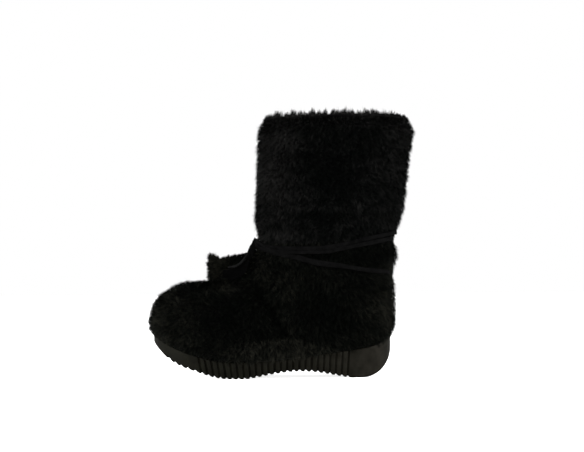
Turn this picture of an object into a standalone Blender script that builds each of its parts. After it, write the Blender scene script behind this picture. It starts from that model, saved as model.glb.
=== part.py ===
"""A fur-out mukluk boot, left foot, on a moulded rubber sole.

The toe points along -X, the outer side faces -Y and +Z is up. The origin is on the floor under the
heel's flat spot. Sizes are in millimetres, and MM turns them into metres where a mesh is made.
"""

import math

import bmesh
import bpy
import numpy as np

MM = 0.001
GAP = 0.3
SOLE_GAP = 0.55

# Outsole
SOLE_TOE_X = -241.5
SOLE_HEEL_X = 38.0
BALL_X = -146.0
TOE_ROCKER_RADIUS = 122.0
NOSE_DROP = 2.4
NOSE_DROP_START = 64.0
NOSE_DROP_LENGTH = 20.0
HEEL_ROUND_X = 3.0
HEEL_ROUND_RADIUS = 35.0
ARCH_START_X = -134.0
ARCH_END_X = -6.0
ARCH_RISE = 8.1
WALL_DRAFT = 0.14
RIB_PITCH = 7.2
RIB_FIRST_X = -187.0
RIB_LAST_X = -13.1
GROOVE_DEPTH = 1.4
TOOTH_FIRST_X = -221.9
TOOTH_RISE = 1.8
BOTTOM_CHAMFER = 1.2
NOSE_TURN = 1.45
NOSE_STATIONS = 7
HEEL_STATIONS = 14
MOST_DRAFT = 0.35
MOST_CUT = 0.2

# Stations of one rib: the place in its pitch, and the shares of the groove's and tooth's full size.
RIB_COLUMNS = ("place", "groove", "tooth")
RIB_ROWS = (
    (0.00, 0.0, 0.0),
    (0.08, 1.0, 1.0),
    (0.20, 1.0, 1.0),
    (0.28, 0.0, 0.9),
    (0.62, 0.0, 0.0),
)

# Half widths of the outsole's top edge on the outer (lateral) and inner (medial) side, and the
# height of that edge, a row for each place along the foot.
SOLE_COLUMNS = ("x", "top", "lateral", "medial")
SOLE_ROWS = (
    (-241.5, 49.6, -8.0, 10.0),
    (-240.9, 49.2, -2.5, 15.0),
    (-238.8, 48.2, 4.0, 20.5),
    (-231.2, 43.5, 14.5, 29.5),
    (-218.0, 37.0, 26.0, 38.5),
    (-201.0, 30.2, 38.0, 45.5),
    (-182.0, 24.8, 45.0, 48.0),
    (-165.0, 21.2, 48.5, 48.0),
    (-146.0, 19.3, 49.5, 46.0),
    (-124.0, 19.4, 48.0, 42.0),
    (-98.0, 20.8, 43.5, 35.5),
    (-66.0, 24.0, 39.0, 32.0),
    (-36.0, 28.6, 37.0, 33.0),
    (-10.0, 31.8, 35.5, 34.5),
    (10.0, 35.0, 31.5, 32.5),
    (23.0, 39.0, 25.5, 26.5),
    (32.0, 43.5, 17.0, 18.0),
    (36.8, 46.4, 8.5, 9.0),
    (37.7, 46.8, 4.5, 4.5),
    (38.0, 46.9, 1.0, 1.0),
)

# The foot's sections across the boot, fur included: the ridge on top, the height of the widest
# place, and the half widths there. Behind the ankle they lie inside the shaft's own sections.
FOOT_COLUMNS = ("x", "ridge", "widest", "lateral", "medial")
FOOT_ROWS = (
    (-245.6, 71.0, 70.0, -6.0, 10.0),
    (-244.2, 80.0, 68.0, 6.0, 21.0),
    (-240.3, 89.0, 66.0, 15.5, 29.5),
    (-231.2, 98.0, 62.0, 26.0, 38.5),
    (-217.0, 106.8, 56.0, 36.5, 45.5),
    (-202.0, 112.2, 50.0, 44.5, 50.0),
    (-182.0, 112.6, 46.0, 50.5, 52.5),
    (-166.0, 115.4, 44.0, 53.0, 51.5),
    (-151.0, 122.5, 43.0, 53.5, 49.5),
    (-135.0, 134.5, 42.0, 52.0, 46.0),
    (-119.0, 149.0, 42.0, 49.0, 42.5),
    (-98.0, 156.0, 42.0, 45.0, 38.5),
    (-68.0, 150.0, 43.0, 41.0, 35.5),
    (-38.0, 130.0, 45.0, 38.0, 34.5),
    (-8.0, 112.0, 50.0, 34.0, 33.5),
    (20.0, 98.0, 58.0, 24.0, 24.0),
    (38.0, 84.0, 66.0, 6.0, 6.0),
)
FOOT_ROUNDNESS = 2.25
KEEL_DEPTH = 2.4
LEAST_BELOW = 4.0
END_SLOPE = 4.0

# The shaft's level sections, fur included, down to the heel.
SHAFT_COLUMNS = ("z", "front", "back", "lateral", "medial")
SHAFT_ROWS = (
    (-20.0, -70.0, 26.0, 30.0, 30.0),
    (45.0, -84.0, 38.5, 36.5, 36.5),
    (58.0, -86.0, 41.2, 38.0, 38.0),
    (72.0, -89.0, 42.8, 39.0, 39.0),
    (88.0, -94.0, 43.5, 39.5, 39.5),
    (106.0, -103.0, 42.6, 40.0, 40.0),
    (124.0, -111.0, 44.0, 41.0, 41.0),
    (146.0, -117.0, 46.8, 42.0, 42.0),
    (164.0, -117.6, 44.6, 42.5, 42.5),
    (178.0, -120.3, 49.4, 45.0, 45.0),
    (197.0, -119.2, 54.4, 47.5, 47.5),
    (218.0, -118.0, 57.0, 49.5, 49.5),
    (243.0, -117.0, 59.5, 52.0, 52.0),
    (264.0, -116.6, 62.4, 53.5, 53.5),
    (284.0, -115.8, 66.6, 55.0, 55.0),
    (312.0, -114.2, 67.3, 56.0, 56.0),
)
SHAFT_ROUNDNESS = 2.2

# Slices of the upper, from the sole's edge up to the collar: where each meets the front and the
# back, and how flat it is, from 0, parallel to the sole's edge, to 1, a plane.
SLICE_COLUMNS = ("band", "front_x", "front_z", "back_x", "back_z", "flat")
SLICE_ROWS = (
    (0, -241.5, 50.9, 38.0, 47.9, 0.0),
    (1, -243.0, 60.5, 41.5, 54.0, 0.3),
    (2, -245.3, 72.0, 43.4, 59.5, 0.6),
    (3, -242.8, 84.0, 44.0, 64.0, 0.85),
    (4, -235.8, 94.0, 44.3, 68.0, 1.0),
    (5, -224.0, 103.0, 44.4, 72.0, 1.0),
    (6, -209.0, 110.0, 44.4, 76.0, 1.0),
    (7, -189.0, 112.4, 44.4, 81.0, 1.0),
    (8, -168.0, 114.9, 44.0, 88.0, 1.0),
    (9, -152.0, 122.5, 43.0, 101.0, 1.0),
    (10, -137.0, 134.0, 43.0, 118.0, 1.0),
    (11, -121.5, 149.0, 44.0, 137.0, 1.0),
    (12, -118.0, 168.0, 45.0, 156.0, 1.0),
    (13, -119.0, 181.0, 49.0, 175.0, 1.0),
    (14, -119.0, 196.0, 54.2, 193.0, 1.0),
    (15, -118.2, 212.0, 56.7, 210.5, 1.0),
    (20, -115.0, 297.0, 67.2, 297.0, 1.0),
)
BAND_COUNT = 20
COLUMN_COUNT = 64
LINING_ROW_STEP = 4
TIP_PLACE = 0.74
BLEND_FRONT = 8.0
BLEND_BACK = 6.0
BLEND_FRONT_X = -100.0
BLEND_BACK_X = -60.0

# Rays that find the surface: they fan out at both ends, about a line that bends with the toe.
FURTHEST = 120.0
HALVINGS = 34
TOE_AXIS_X = -120.0
TOE_AXIS_FADE = 60.0
FAN_RADIUS = 30.0
SHAFT_FAN_RADIUS = 45.0
FAN_CHANGE_BAND = 9
FAN_CHANGE_BANDS = 4

# Wall of the upper: the pile and the hide under it.
WALL = 10.0
WALL_AT_SOLE = 7.5
COLLAR_RING_COLUMNS = ("height", "inset", "tuft")
COLLAR_RING_ROWS = (
    (302.5, 2.4, 0.0),
    (309.6, 7.2, 1.0),
)
COLLAR_INSIDE_HEIGHT = 303.0
COLLAR_INSIDE_INSET = 12.5

# Locks of fur, in shingled bands round the upper.
LOCK_COLUMNS = 4
LOCK_DEPTH = 2.6
LOCK_DROP = 3.2
LOCK_ROOT_DEPTH = -1.0
LOCK_LEAST = 0.35
LOCK_UNEVEN = 0.2
LOCKS_START = 4.0
LOCKS_FADE = 10.0
LOCKS_IN_SEAM = 0.2
COLLAR_TUFT_RISE = 3.0
TUFT_SPREAD = (2.4, 0.9)

# Seam between vamp and quarter, and the thicker band of fur along the sole.
SEAM_TOP = (-121.0, 113.0)
SEAM_FOOT = (-86.0, 52.0)
SEAM_BOW = 4.0
SEAM_DEPTH = 3.2
SEAM_HALF_WIDTH = 8.0
SEAM_OVERRUN = 0.2
RAND_COLUMNS = ("x", "height")
RAND_ROWS = (
    (-176.0, 2.0),
    (-150.0, 18.0),
    (-120.0, 26.0),
    (-91.0, 26.0),
    (-60.0, 18.0),
    (-28.0, 3.0),
)
RAND_BULGE = 2.8
RAND_FOOT_FADE = 5.0
RAND_TOP_FADE = 7.0

# Thongs round the ankle. Each row is a place round it, from 0 in front to 180 behind, with the
# height of the three turns there.
THONG_DIAMETER = 3.4
THONG_SINK = 1.0
TROUGH_DEPTH = 3.4
TROUGH_HALF_WIDTH = 9.0
THONG_POINTS = 36
WRAP_COLUMNS = ("turn", "high", "middle", "low")
WRAP_ROWS = (
    (0, 160.0, 155.9, 164.6),
    (14, 158.0, 153.9, 162.6),
    (30, 153.0, 148.9, 155.2),
    (46, 149.8, 145.8, 144.0),
    (60, 149.3, 145.2, 139.6),
    (85, 150.0, 145.6, 132.2),
    (103, 153.8, 149.4, 127.9),
    (122, 160.0, 154.6, 125.2),
    (145, 165.6, 159.6, 123.3),
    (165, 168.3, 162.6, 122.6),
    (180, 168.8, 163.4, 122.4),
)

# Insole
INSOLE_THICKNESS = 4.0
INSOLE_CLEARANCE = 1.5
INSOLE_POINTS = 32

# Knot of the thong, a trefoil that faces up and forward from the ankle's front corner.
KNOT_CENTRE = (-125.5, -5.2, 149.1)
KNOT_LEAN_DEGREES = 48.0
KNOT_SWING_DEGREES = 25.0
KNOT_SCALE = 1.55
KNOT_CORD = 2.3
KNOT_POINTS = 32

# The thong's two free ends: each leaves the knot and runs along the top edge of its tab.
END_DIAMETER = 2.2
FUR_END_ROUTE = (
    (-130.5, -5.8, 145.2),
    (-134.4, -6.2, 143.6),
    (-139.0, -6.6, 142.4),
    (-145.5, -6.8, 141.2),
    (-152.5, -6.8, 139.4),
    (-157.5, -6.6, 138.3),
    (-161.2, -6.4, 138.2),
)
SUEDE_END_ROUTE = (
    (-125.9, -11.2, 151.4),
    (-127.9, -17.0, 146.8),
    (-130.8, -21.6, 141.4),
    (-134.4, -25.4, 136.4),
    (-138.8, -28.6, 132.2),
    (-144.4, -31.2, 129.4),
    (-151.0, -33.0, 128.6),
)
END_POINTS = 14

# Leaf-shaped tabs of hide, a row for each place along them from the root to the free end.
TAB_COLUMNS = ("along", "x", "y", "top", "bottom", "thickness")
FUR_TAB_ROWS = (
    (0, -135.0, -6.4, 140.0, 134.4, 4.0),
    (1, -142.0, -6.8, 139.8, 129.6, 6.0),
    (2, -151.0, -7.0, 137.8, 123.6, 7.5),
    (3, -160.0, -6.8, 135.9, 118.4, 8.0),
    (4, -168.5, -6.4, 141.6, 116.0, 8.0),
    (5, -173.5, -6.0, 144.4, 115.3, 5.5),
)
SUEDE_TAB_ROWS = (
    (0, -126.0, -24.4, 144.2, 135.6, 2.8),
    (1, -131.5, -28.2, 137.6, 121.5, 3.4),
    (2, -139.5, -32.9, 130.2, 116.0, 3.8),
    (3, -148.0, -36.2, 127.0, 114.8, 3.8),
    (4, -157.0, -37.6, 125.2, 117.6, 2.6),
)
TAB_SIDES = 10
TAB_STEPS = 3
SUEDE_TAB_LEAN = 1.0


class Table:
    """Rows with named columns, read as smooth curves over the first column."""

    def __init__(self, columns, rows):
        values = np.array(rows, dtype=float)
        self.where = values[:, 0]
        self.columns = {
            name: (values[:, i], self.slopes(values[:, i]))
            for i, name in enumerate(columns)
        }

    def slopes(self, heights):
        """Slopes that never overshoot a row."""
        step = np.diff(self.where)
        rise = np.diff(heights) / step
        slopes = np.concatenate([rise[:1], np.zeros(len(rise) - 1), rise[-1:]])
        before, after = rise[:-1], rise[1:]
        same_way = before * after > 0
        total = np.where(same_way, before + after, 1.0)
        slopes[1:-1] = np.where(same_way, 2 * before * after / total, 0.0)
        return slopes

    def at(self, name, place):
        heights, slopes = self.columns[name]
        place = np.clip(place, self.where[0], self.where[-1])
        i = np.clip(np.searchsorted(self.where, place) - 1, 0, len(self.where) - 2)
        step = self.where[i + 1] - self.where[i]
        t = (place - self.where[i]) / step
        return (
            (2 * t**3 - 3 * t**2 + 1) * heights[i]
            + (t**3 - 2 * t**2 + t) * step * slopes[i]
            + (3 * t**2 - 2 * t**3) * heights[i + 1]
            + (t**3 - t**2) * step * slopes[i + 1]
        )


SOLE = Table(SOLE_COLUMNS, SOLE_ROWS)
FOOT = Table(FOOT_COLUMNS, FOOT_ROWS)
SHAFT = Table(SHAFT_COLUMNS, SHAFT_ROWS)
SLICE = Table(SLICE_COLUMNS, SLICE_ROWS)
RAND = Table(RAND_COLUMNS, RAND_ROWS)
WRAP = Table(WRAP_COLUMNS, WRAP_ROWS)


def clear_scene():
    for obj in list(bpy.data.objects):
        bpy.data.objects.remove(obj, do_unlink=True)


def new_collection(name):
    collection = bpy.data.collections.new(name)
    bpy.context.scene.collection.children.link(collection)
    return collection


def material(name, colour, roughness, sheen=0.0):
    made = bpy.data.materials.new(name)
    made.use_nodes = True
    shader = made.node_tree.nodes["Principled BSDF"]
    shader.inputs["Base Color"].default_value = (*colour, 1.0)
    shader.inputs["Roughness"].default_value = roughness
    shader.inputs["Metallic"].default_value = 0.0
    shader.inputs["Sheen Weight"].default_value = sheen
    return made


def black_fur_material():
    return material("black_fur", (0.012, 0.012, 0.011), 0.85, sheen=0.3)


def rubber_material():
    return material("dark_rubber", (0.030, 0.030, 0.026), 0.55)


def suede_material():
    return material("black_suede", (0.014, 0.014, 0.014), 0.9, sheen=0.2)


def footbed_material():
    return material("footbed_felt", (0.050, 0.045, 0.040), 0.95)


def mesh_object(name, points, faces, collection, look):
    """An object from points in millimetres, with its faces turned outwards."""
    mesh = bpy.data.meshes.new(name)
    mesh.from_pydata([tuple(np.asarray(p) * MM) for p in points], [], faces)
    shape = bmesh.new()
    shape.from_mesh(mesh)
    bmesh.ops.recalc_face_normals(shape, faces=shape.faces)
    shape.to_mesh(mesh)
    shape.free()
    mesh.materials.append(look)
    mesh.shade_smooth()
    mesh.set_sharp_from_angle(angle=math.radians(35))
    obj = bpy.data.objects.new(name, mesh)
    collection.objects.link(obj)
    return obj


def smooth_step(value):
    value = np.clip(value, 0.0, 1.0)
    return value * value * (3 - 2 * value)


def sole_bottom(x):
    """Height of the tread: toe rocker and its full nose, flat ball, arch, flat heel and round back."""
    ahead = np.clip(BALL_X - x, 0.0, TOE_ROCKER_RADIUS)
    rocker = TOE_ROCKER_RADIUS - np.sqrt(TOE_ROCKER_RADIUS**2 - ahead**2)
    rocker = rocker - NOSE_DROP * smooth_step((ahead - NOSE_DROP_START) / NOSE_DROP_LENGTH)
    along = np.clip((x - ARCH_START_X) / (ARCH_END_X - ARCH_START_X), 0.0, 1.0)
    arch = ARCH_RISE * np.sin(math.pi * along) ** 1.3
    behind = np.clip(x - HEEL_ROUND_X, 0.0, HEEL_ROUND_RADIUS)
    heel = HEEL_ROUND_RADIUS - np.sqrt(HEEL_ROUND_RADIUS**2 - behind**2)
    return rocker + arch + heel


def sole_stations():
    """Places along the sole, with how deep the groove and how high the tooth is at each."""
    stations = []
    nose = SOLE_TOE_X + (TOOTH_FIRST_X - SOLE_TOE_X) * (
        1 - np.cos(np.linspace(0, NOSE_TURN, NOSE_STATIONS))
    )
    stations += [(x, 0.0, 0.0) for x in nose[:-1]]
    pitches = int(round((RIB_LAST_X - TOOTH_FIRST_X) / RIB_PITCH))
    for k in range(pitches + 1):
        start = TOOTH_FIRST_X + k * RIB_PITCH
        depth = GROOVE_DEPTH * (start > RIB_FIRST_X)
        for row in RIB_ROWS:
            rib = dict(zip(RIB_COLUMNS, row))
            x = start + rib["place"] * RIB_PITCH
            stations.append((x, rib["groove"] * depth, rib["tooth"] * TOOTH_RISE))
    heel_start = start + RIB_PITCH
    turn = np.linspace(0, math.pi / 2, HEEL_STATIONS)
    stations += [(x, 0.0, 0.0) for x in heel_start + (SOLE_HEEL_X - heel_start) * np.sin(turn)]
    return stations


def sole_section(x, groove, tooth):
    """The ring of one section, from the outer top edge round the bottom to the inner top edge."""
    top, bottom = SOLE.at("top", x), sole_bottom(x) + tooth
    lateral, medial = SOLE.at("lateral", x), SOLE.at("medial", x)
    middle, reach = (medial - lateral) / 2, (medial + lateral) / 2
    draft = min(WALL_DRAFT * (top - bottom), MOST_DRAFT * reach)
    groove = min(groove, MOST_CUT * reach)
    chamfer = min(BOTTOM_CHAMFER, MOST_CUT * reach)
    wall = reach - draft - groove
    half = (
        (reach - groove, top),
        (wall, bottom + BOTTOM_CHAMFER),
        (wall - chamfer, bottom),
    )
    outer = [(x, middle - w, z) for w, z in half]
    inner = [(x, middle + w, z) for w, z in reversed(half)]
    return outer + inner


def ring_loft(rings, close_ends=True):
    """Points and faces of a skin over rings that have the same number of points each."""
    count = len(rings[0])
    points = [p for ring in rings for p in ring]
    faces = []
    for r in range(len(rings) - 1):
        for c in range(count):
            d = (c + 1) % count
            faces.append((r * count + c, r * count + d, (r + 1) * count + d, (r + 1) * count + c))
    if close_ends:
        faces.append(tuple(range(count)))
        faces.append(tuple(range((len(rings) - 1) * count, len(rings) * count)))
    return points, faces


def outsole(collection):
    rings = [sole_section(*station) for station in sole_stations()]
    points, faces = ring_loft(rings)
    return mesh_object("outsole", points, faces, collection, rubber_material())


def superellipse(across, along, roundness):
    return (np.abs(across) ** roundness + np.abs(along) ** roundness) ** (1 / roundness)


def foot_depth(x, y, z):
    """Below zero inside the foot's form, and about the distance to it."""
    lateral, medial = FOOT.at("lateral", x), FOOT.at("medial", x)
    middle, reach = (medial - lateral) / 2, (medial + lateral) / 2
    widest, ridge = FOOT.at("widest", x), FOOT.at("ridge", x)
    below = KEEL_DEPTH * np.maximum(widest - SOLE.at("top", x), LEAST_BELOW)
    height = np.where(z > widest, (z - widest) / (ridge - widest), (widest - z) / below)
    return (superellipse((y - middle) / reach, height, FOOT_ROUNDNESS) - 1) * reach


def shaft_depth(x, y, z):
    """Below zero inside the shaft and heel."""
    front, back = SHAFT.at("front", z), SHAFT.at("back", z)
    width = np.where(y < 0, SHAFT.at("lateral", z), SHAFT.at("medial", z))
    along = (x - (front + back) / 2) / ((back - front) / 2)
    return (superellipse(y / width, along, SHAFT_ROUNDNESS) - 1) * width


def boot_depth(x, y, z):
    """The foot and the shaft joined with a soft fillet at the instep."""
    foot, shaft = foot_depth(x, y, z), shaft_depth(x, y, z)
    fade = smooth_step((x - BLEND_FRONT_X) / (BLEND_BACK_X - BLEND_FRONT_X))
    blend = BLEND_FRONT + (BLEND_BACK - BLEND_FRONT) * fade
    beyond = np.maximum(FOOT.where[0] - x, 0.0) + np.maximum(x - FOOT.where[-1], 0.0)
    foot = foot + END_SLOPE * beyond
    near = np.maximum(blend - np.abs(foot - shaft), 0.0)
    return np.minimum(foot, shaft) - near**2 / (4 * blend)


def outline_depth(x, y):
    """Below zero inside the outsole's top edge."""
    lateral, medial = SOLE.at("lateral", x), SOLE.at("medial", x)
    middle, reach = (medial - lateral) / 2, (medial + lateral) / 2
    beyond = np.maximum(SOLE_TOE_X - x, 0.0) + np.maximum(x - SOLE_HEEL_X, 0.0)
    return np.abs(y - middle) - reach + END_SLOPE * beyond


def reach_out(depth, start, way):
    """How far along each ray the depth turns positive."""
    low = np.zeros(start.shape[:-1])
    high = np.full(start.shape[:-1], FURTHEST)
    for _ in range(HALVINGS):
        half = (low + high) / 2
        inside = depth(start + way * half[..., None]) < 0
        low, high = np.where(inside, half, low), np.where(inside, high, half)
    return low


def rays(front_x, back_x, radius, turns):
    """Origins on the middle line and directions in plan, fanned out at both ends."""
    half = (back_x - front_x) / 2
    x = front_x + half - (half - radius) * np.cos(turns)
    middle = (FOOT.at("medial", x) - FOOT.at("lateral", x)) / 2
    ahead = smooth_step((TOE_AXIS_X - x) / TOE_AXIS_FADE)
    start = np.stack([x, middle * ahead], axis=-1)
    way = np.stack([-np.cos(turns), -np.sin(turns)], axis=-1)
    return start, way


def column_turns(count):
    return np.arange(count) * 2 * math.pi / count


def slice_height(band, x):
    """Height of a slice at x: a straight line from front to back, plus the sole's own sag."""
    front_x, front_z = SLICE.at("front_x", band), SLICE.at("front_z", band)
    back_x, back_z = SLICE.at("back_x", band), SLICE.at("back_z", band)
    line = front_z + (x - front_x) / (back_x - front_x) * (back_z - front_z)
    t = (np.clip(x, SOLE_TOE_X, SOLE_HEEL_X) - SOLE_TOE_X) / (SOLE_HEEL_X - SOLE_TOE_X)
    chord = SOLE.at("top", SOLE_TOE_X) * (1 - t) + SOLE.at("top", SOLE_HEEL_X) * t
    return line + (1 - SLICE.at("flat", band)) * (SOLE.at("top", x) - chord)


def sole_edge_ring(count, inset=0.0, lift=SOLE_GAP):
    """The outsole's top edge as a ring of points, moved inwards and up."""
    start, way = rays(SOLE_TOE_X, SOLE_HEEL_X, FAN_RADIUS, column_turns(count))
    out = reach_out(lambda p: outline_depth(p[..., 0], p[..., 1]), start, way)
    ring = start + way * out[:, None]
    along = np.roll(ring, -1, axis=0) - np.roll(ring, 1, axis=0)
    along /= np.linalg.norm(along, axis=1, keepdims=True)
    inward = np.stack([along[:, 1], -along[:, 0]], axis=-1)
    inward *= np.sign(((start - ring) * inward).sum(axis=1, keepdims=True))
    ring = ring + inward * inset
    return np.column_stack([ring, SOLE.at("top", ring[:, 0]) + lift])


def slice_ring(band, count):
    """The upper's surface along one slice, without its locks."""
    front_x, back_x = SLICE.at("front_x", band), SLICE.at("back_x", band)
    risen = smooth_step((band - FAN_CHANGE_BAND) / FAN_CHANGE_BANDS)
    radius = FAN_RADIUS + (SHAFT_FAN_RADIUS - FAN_RADIUS) * risen
    start, way = rays(front_x, back_x, radius, column_turns(count))

    def depth(p):
        return boot_depth(p[..., 0], p[..., 1], slice_height(band, p[..., 0]))

    ring = start + way * reach_out(depth, start, way)[:, None]
    return np.column_stack([ring, slice_height(band, ring[:, 0])])


def band_places():
    """A root row and a tip row for each band of locks, and one last root row."""
    places = []
    for band in range(BAND_COUNT):
        places += [band, band + 1 - TIP_PLACE]
    return places + [BAND_COUNT]


def surface_normals(grid):
    around = np.roll(grid, -1, axis=1) - np.roll(grid, 1, axis=1)
    up = np.gradient(grid, axis=0)
    normal = np.cross(around, up)
    normal /= np.linalg.norm(normal, axis=2, keepdims=True)
    centre = grid.mean(axis=1, keepdims=True)
    facing = np.sign(((grid - centre) * normal).sum(axis=(1, 2), keepdims=True))
    return normal * facing


def turn_round_ankle(points):
    """The place round the ankle, 0 in front and 180 behind, the same on both sides."""
    front, back = SHAFT.at("front", points[..., 2]), SHAFT.at("back", points[..., 2])
    along = (points[..., 0] - (front + back) / 2) / ((back - front) / 2)
    return np.degrees(np.arccos(np.clip(-along, -1.0, 1.0)))


def trough(points):
    """How much the fur is pressed in under the thongs, from 0 to 1."""
    turn = turn_round_ankle(points)
    pressed = np.zeros(points.shape[:-1])
    for name in WRAP_COLUMNS[1:]:
        off = (points[..., 2] - WRAP.at(name, turn)) / TROUGH_HALF_WIDTH
        pressed = np.maximum(pressed, np.exp(-(off**2)))
    return pressed


def seam(points):
    """How near a point is to the seam between vamp and quarter, from 0 to 1."""
    (x0, z0), (x1, z1) = SEAM_TOP, SEAM_FOOT
    t = (z0 - points[..., 2]) / (z0 - z1)
    x = x0 + (x1 - x0) * t + SEAM_BOW * np.sin(math.pi * np.clip(t, 0, 1))
    fade = smooth_step((t + SEAM_OVERRUN) / SEAM_OVERRUN)
    fade = fade * smooth_step((1 + SEAM_OVERRUN - t) / SEAM_OVERRUN)
    return np.exp(-(((points[..., 0] - x) / SEAM_HALF_WIDTH) ** 2)) * fade


def rand(points):
    """Where the thicker band of fur along the sole is, from 0 to 1."""
    x = points[..., 0]
    over = points[..., 2] - SOLE.at("top", x)
    height = RAND.at("height", x)
    inside = (x > RAND.where[0]) & (x < RAND.where[-1])
    return inside * smooth_step(over / RAND_FOOT_FADE) * smooth_step((height - over) / RAND_TOP_FADE)


def lock_pattern(rows, columns):
    """How far each point of the locks stands out and hangs down, from 0 to 1."""
    r, c = np.meshgrid(np.arange(rows), np.arange(columns), indexing="ij")
    tip_row = r % 2 == 1
    shift = (r // 2) * (LOCK_COLUMNS // 2)
    place = ((c + shift) % LOCK_COLUMNS) / LOCK_COLUMNS
    point = 0.5 + 0.5 * np.cos(2 * math.pi * place)
    uneven = 1 - LOCK_UNEVEN + LOCK_UNEVEN * np.sin(1.7 * c + 2.3 * (r // 2))
    return tip_row * (LOCK_LEAST + (1 - LOCK_LEAST) * point) * uneven, tip_row * point


def upper_outside():
    """The outside of the upper as a grid, rows from the sole up and columns round it."""
    rings = [sole_edge_ring(COLUMN_COUNT)]
    rings += [slice_ring(band, COLUMN_COUNT) for band in band_places()[1:]]
    return np.array(rings)


def with_locks(grid):
    """The grid with its seam, its band along the sole, the thongs' troughs and the locks."""
    normal = surface_normals(grid)
    out, hang = lock_pattern(*grid.shape[:2])
    pressed, creased = trough(grid), seam(grid)
    over_sole = grid[..., 2] - SOLE.at("top", grid[..., 0])
    free = (1 - pressed) ** 2 * (1 - (1 - LOCKS_IN_SEAM) * creased)
    free = free * smooth_step((over_sole - LOCKS_START) / LOCKS_FADE)
    shift = LOCK_ROOT_DEPTH * free + (LOCK_DEPTH - LOCK_ROOT_DEPTH) * out * free
    shift += RAND_BULGE * rand(grid) - SEAM_DEPTH * creased - TROUGH_DEPTH * pressed
    shift[0] = 0.0
    moved = grid + normal * shift[..., None]
    moved[1:, :, 2] -= (LOCK_DROP * hang * free)[1:]
    return moved


def collar_rings(top_ring, normal):
    """The rounded rim of fur over the collar, with uneven tufts."""
    rings = []
    level = normal.copy()
    level[:, 2] = 0.0
    level /= np.linalg.norm(level, axis=1, keepdims=True)
    place = np.arange(len(top_ring))
    tuft = np.sin(place * TUFT_SPREAD[0]) * np.sin(place * TUFT_SPREAD[1])
    for row in COLLAR_RING_ROWS:
        rim = dict(zip(COLLAR_RING_COLUMNS, row))
        ring = top_ring - level * rim["inset"]
        ring[:, 2] = rim["height"] + rim["tuft"] * COLLAR_TUFT_RISE * (tuft + tuft**2) / 2
        rings.append(ring)
    inside = top_ring - level * COLLAR_INSIDE_INSET
    inside[:, 2] = COLLAR_INSIDE_HEIGHT
    return rings, inside


def inside_grid(grid):
    """The lining's side of the wall, with fewer rows and half the columns, from the collar down."""
    normal = surface_normals(grid)
    rows = range(2, len(grid) - 2, LINING_ROW_STEP)
    rings = [(grid[r] - normal[r] * WALL)[::2] for r in rows]
    bottom = sole_edge_ring(COLUMN_COUNT // 2, inset=WALL_AT_SOLE)
    return rings[::-1] + [bottom]


def halved(ring_start, small_start, count):
    """Faces from a ring to one with half its points."""
    faces = []
    half = count // 2
    for i in range(half):
        a, b, c = (ring_start + (2 * i + k) % count for k in range(3))
        p, q = small_start + i, small_start + (i + 1) % half
        faces += [(a, b, p), (b, q, p), (b, c, q)]
    return faces


def upper(collection):
    base = upper_outside()
    outside = list(with_locks(base))
    rims, rim_inside = collar_rings(base[-1], surface_normals(base)[-1])
    outside += rims
    points, faces = ring_loft(outside, close_ends=False)
    lining = [rim_inside[::2]] + inside_grid(base)
    start, half = len(points), COLUMN_COUNT // 2
    inner_points, inner_faces = ring_loft(lining, close_ends=False)
    points += inner_points
    faces += [tuple(i + start for i in face) for face in inner_faces]
    faces += halved(start - COLUMN_COUNT, start, COLUMN_COUNT)
    faces += halved(0, len(points) - half, COLUMN_COUNT)
    return mesh_object("upper", points, faces, collection, black_fur_material())


def insole(collection):
    inset = WALL_AT_SOLE + INSOLE_CLEARANCE
    rings = [
        sole_edge_ring(INSOLE_POINTS, inset, SOLE_GAP),
        sole_edge_ring(INSOLE_POINTS, inset, SOLE_GAP + INSOLE_THICKNESS),
    ]
    points, faces = ring_loft(rings, close_ends=False)
    half = INSOLE_POINTS // 2
    for start in (0, INSOLE_POINTS):
        for i in range(half):
            j = (INSOLE_POINTS - i) % INSOLE_POINTS
            corners = (i, i + 1, INSOLE_POINTS - i - 1, j)
            faces.append(tuple(dict.fromkeys(start + c for c in corners)))
    return mesh_object("insole", points, faces, collection, footbed_material())


def wrap_route(name):
    """One turn of thong round the ankle, lying in its trough."""
    angles = np.arange(THONG_POINTS) * 360.0 / THONG_POINTS
    turn = np.where(angles > 180, 360 - angles, angles)
    z = WRAP.at(name, turn)
    front, back = SHAFT.at("front", z), SHAFT.at("back", z)
    start = np.column_stack([(front + back) / 2, np.zeros(THONG_POINTS)])
    stretch = (back - front) / 2 / SHAFT.at("lateral", z)
    way = np.column_stack([-np.cos(np.radians(angles)) * stretch, -np.sin(np.radians(angles))])
    way /= np.linalg.norm(way, axis=1, keepdims=True)
    out = reach_out(lambda p: boot_depth(p[..., 0], p[..., 1], z), start, way)
    rise = THONG_DIAMETER / 2 + GAP - THONG_SINK
    return np.column_stack([start + way * (out + rise)[:, None], z])


def cord_curve(name, route, diameter, cyclic=False):
    data = bpy.data.curves.new(name, "CURVE")
    data.dimensions = "3D"
    data.bevel_depth = diameter / 2 * MM
    data.bevel_resolution = 2
    data.use_fill_caps = not cyclic
    spline = data.splines.new("POLY")
    spline.points.add(len(route) - 1)
    for point, place in zip(spline.points, route):
        point.co = (*(np.asarray(place) * MM), 1.0)
    spline.use_cyclic_u = cyclic
    return bpy.data.objects.new(name, data)


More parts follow.
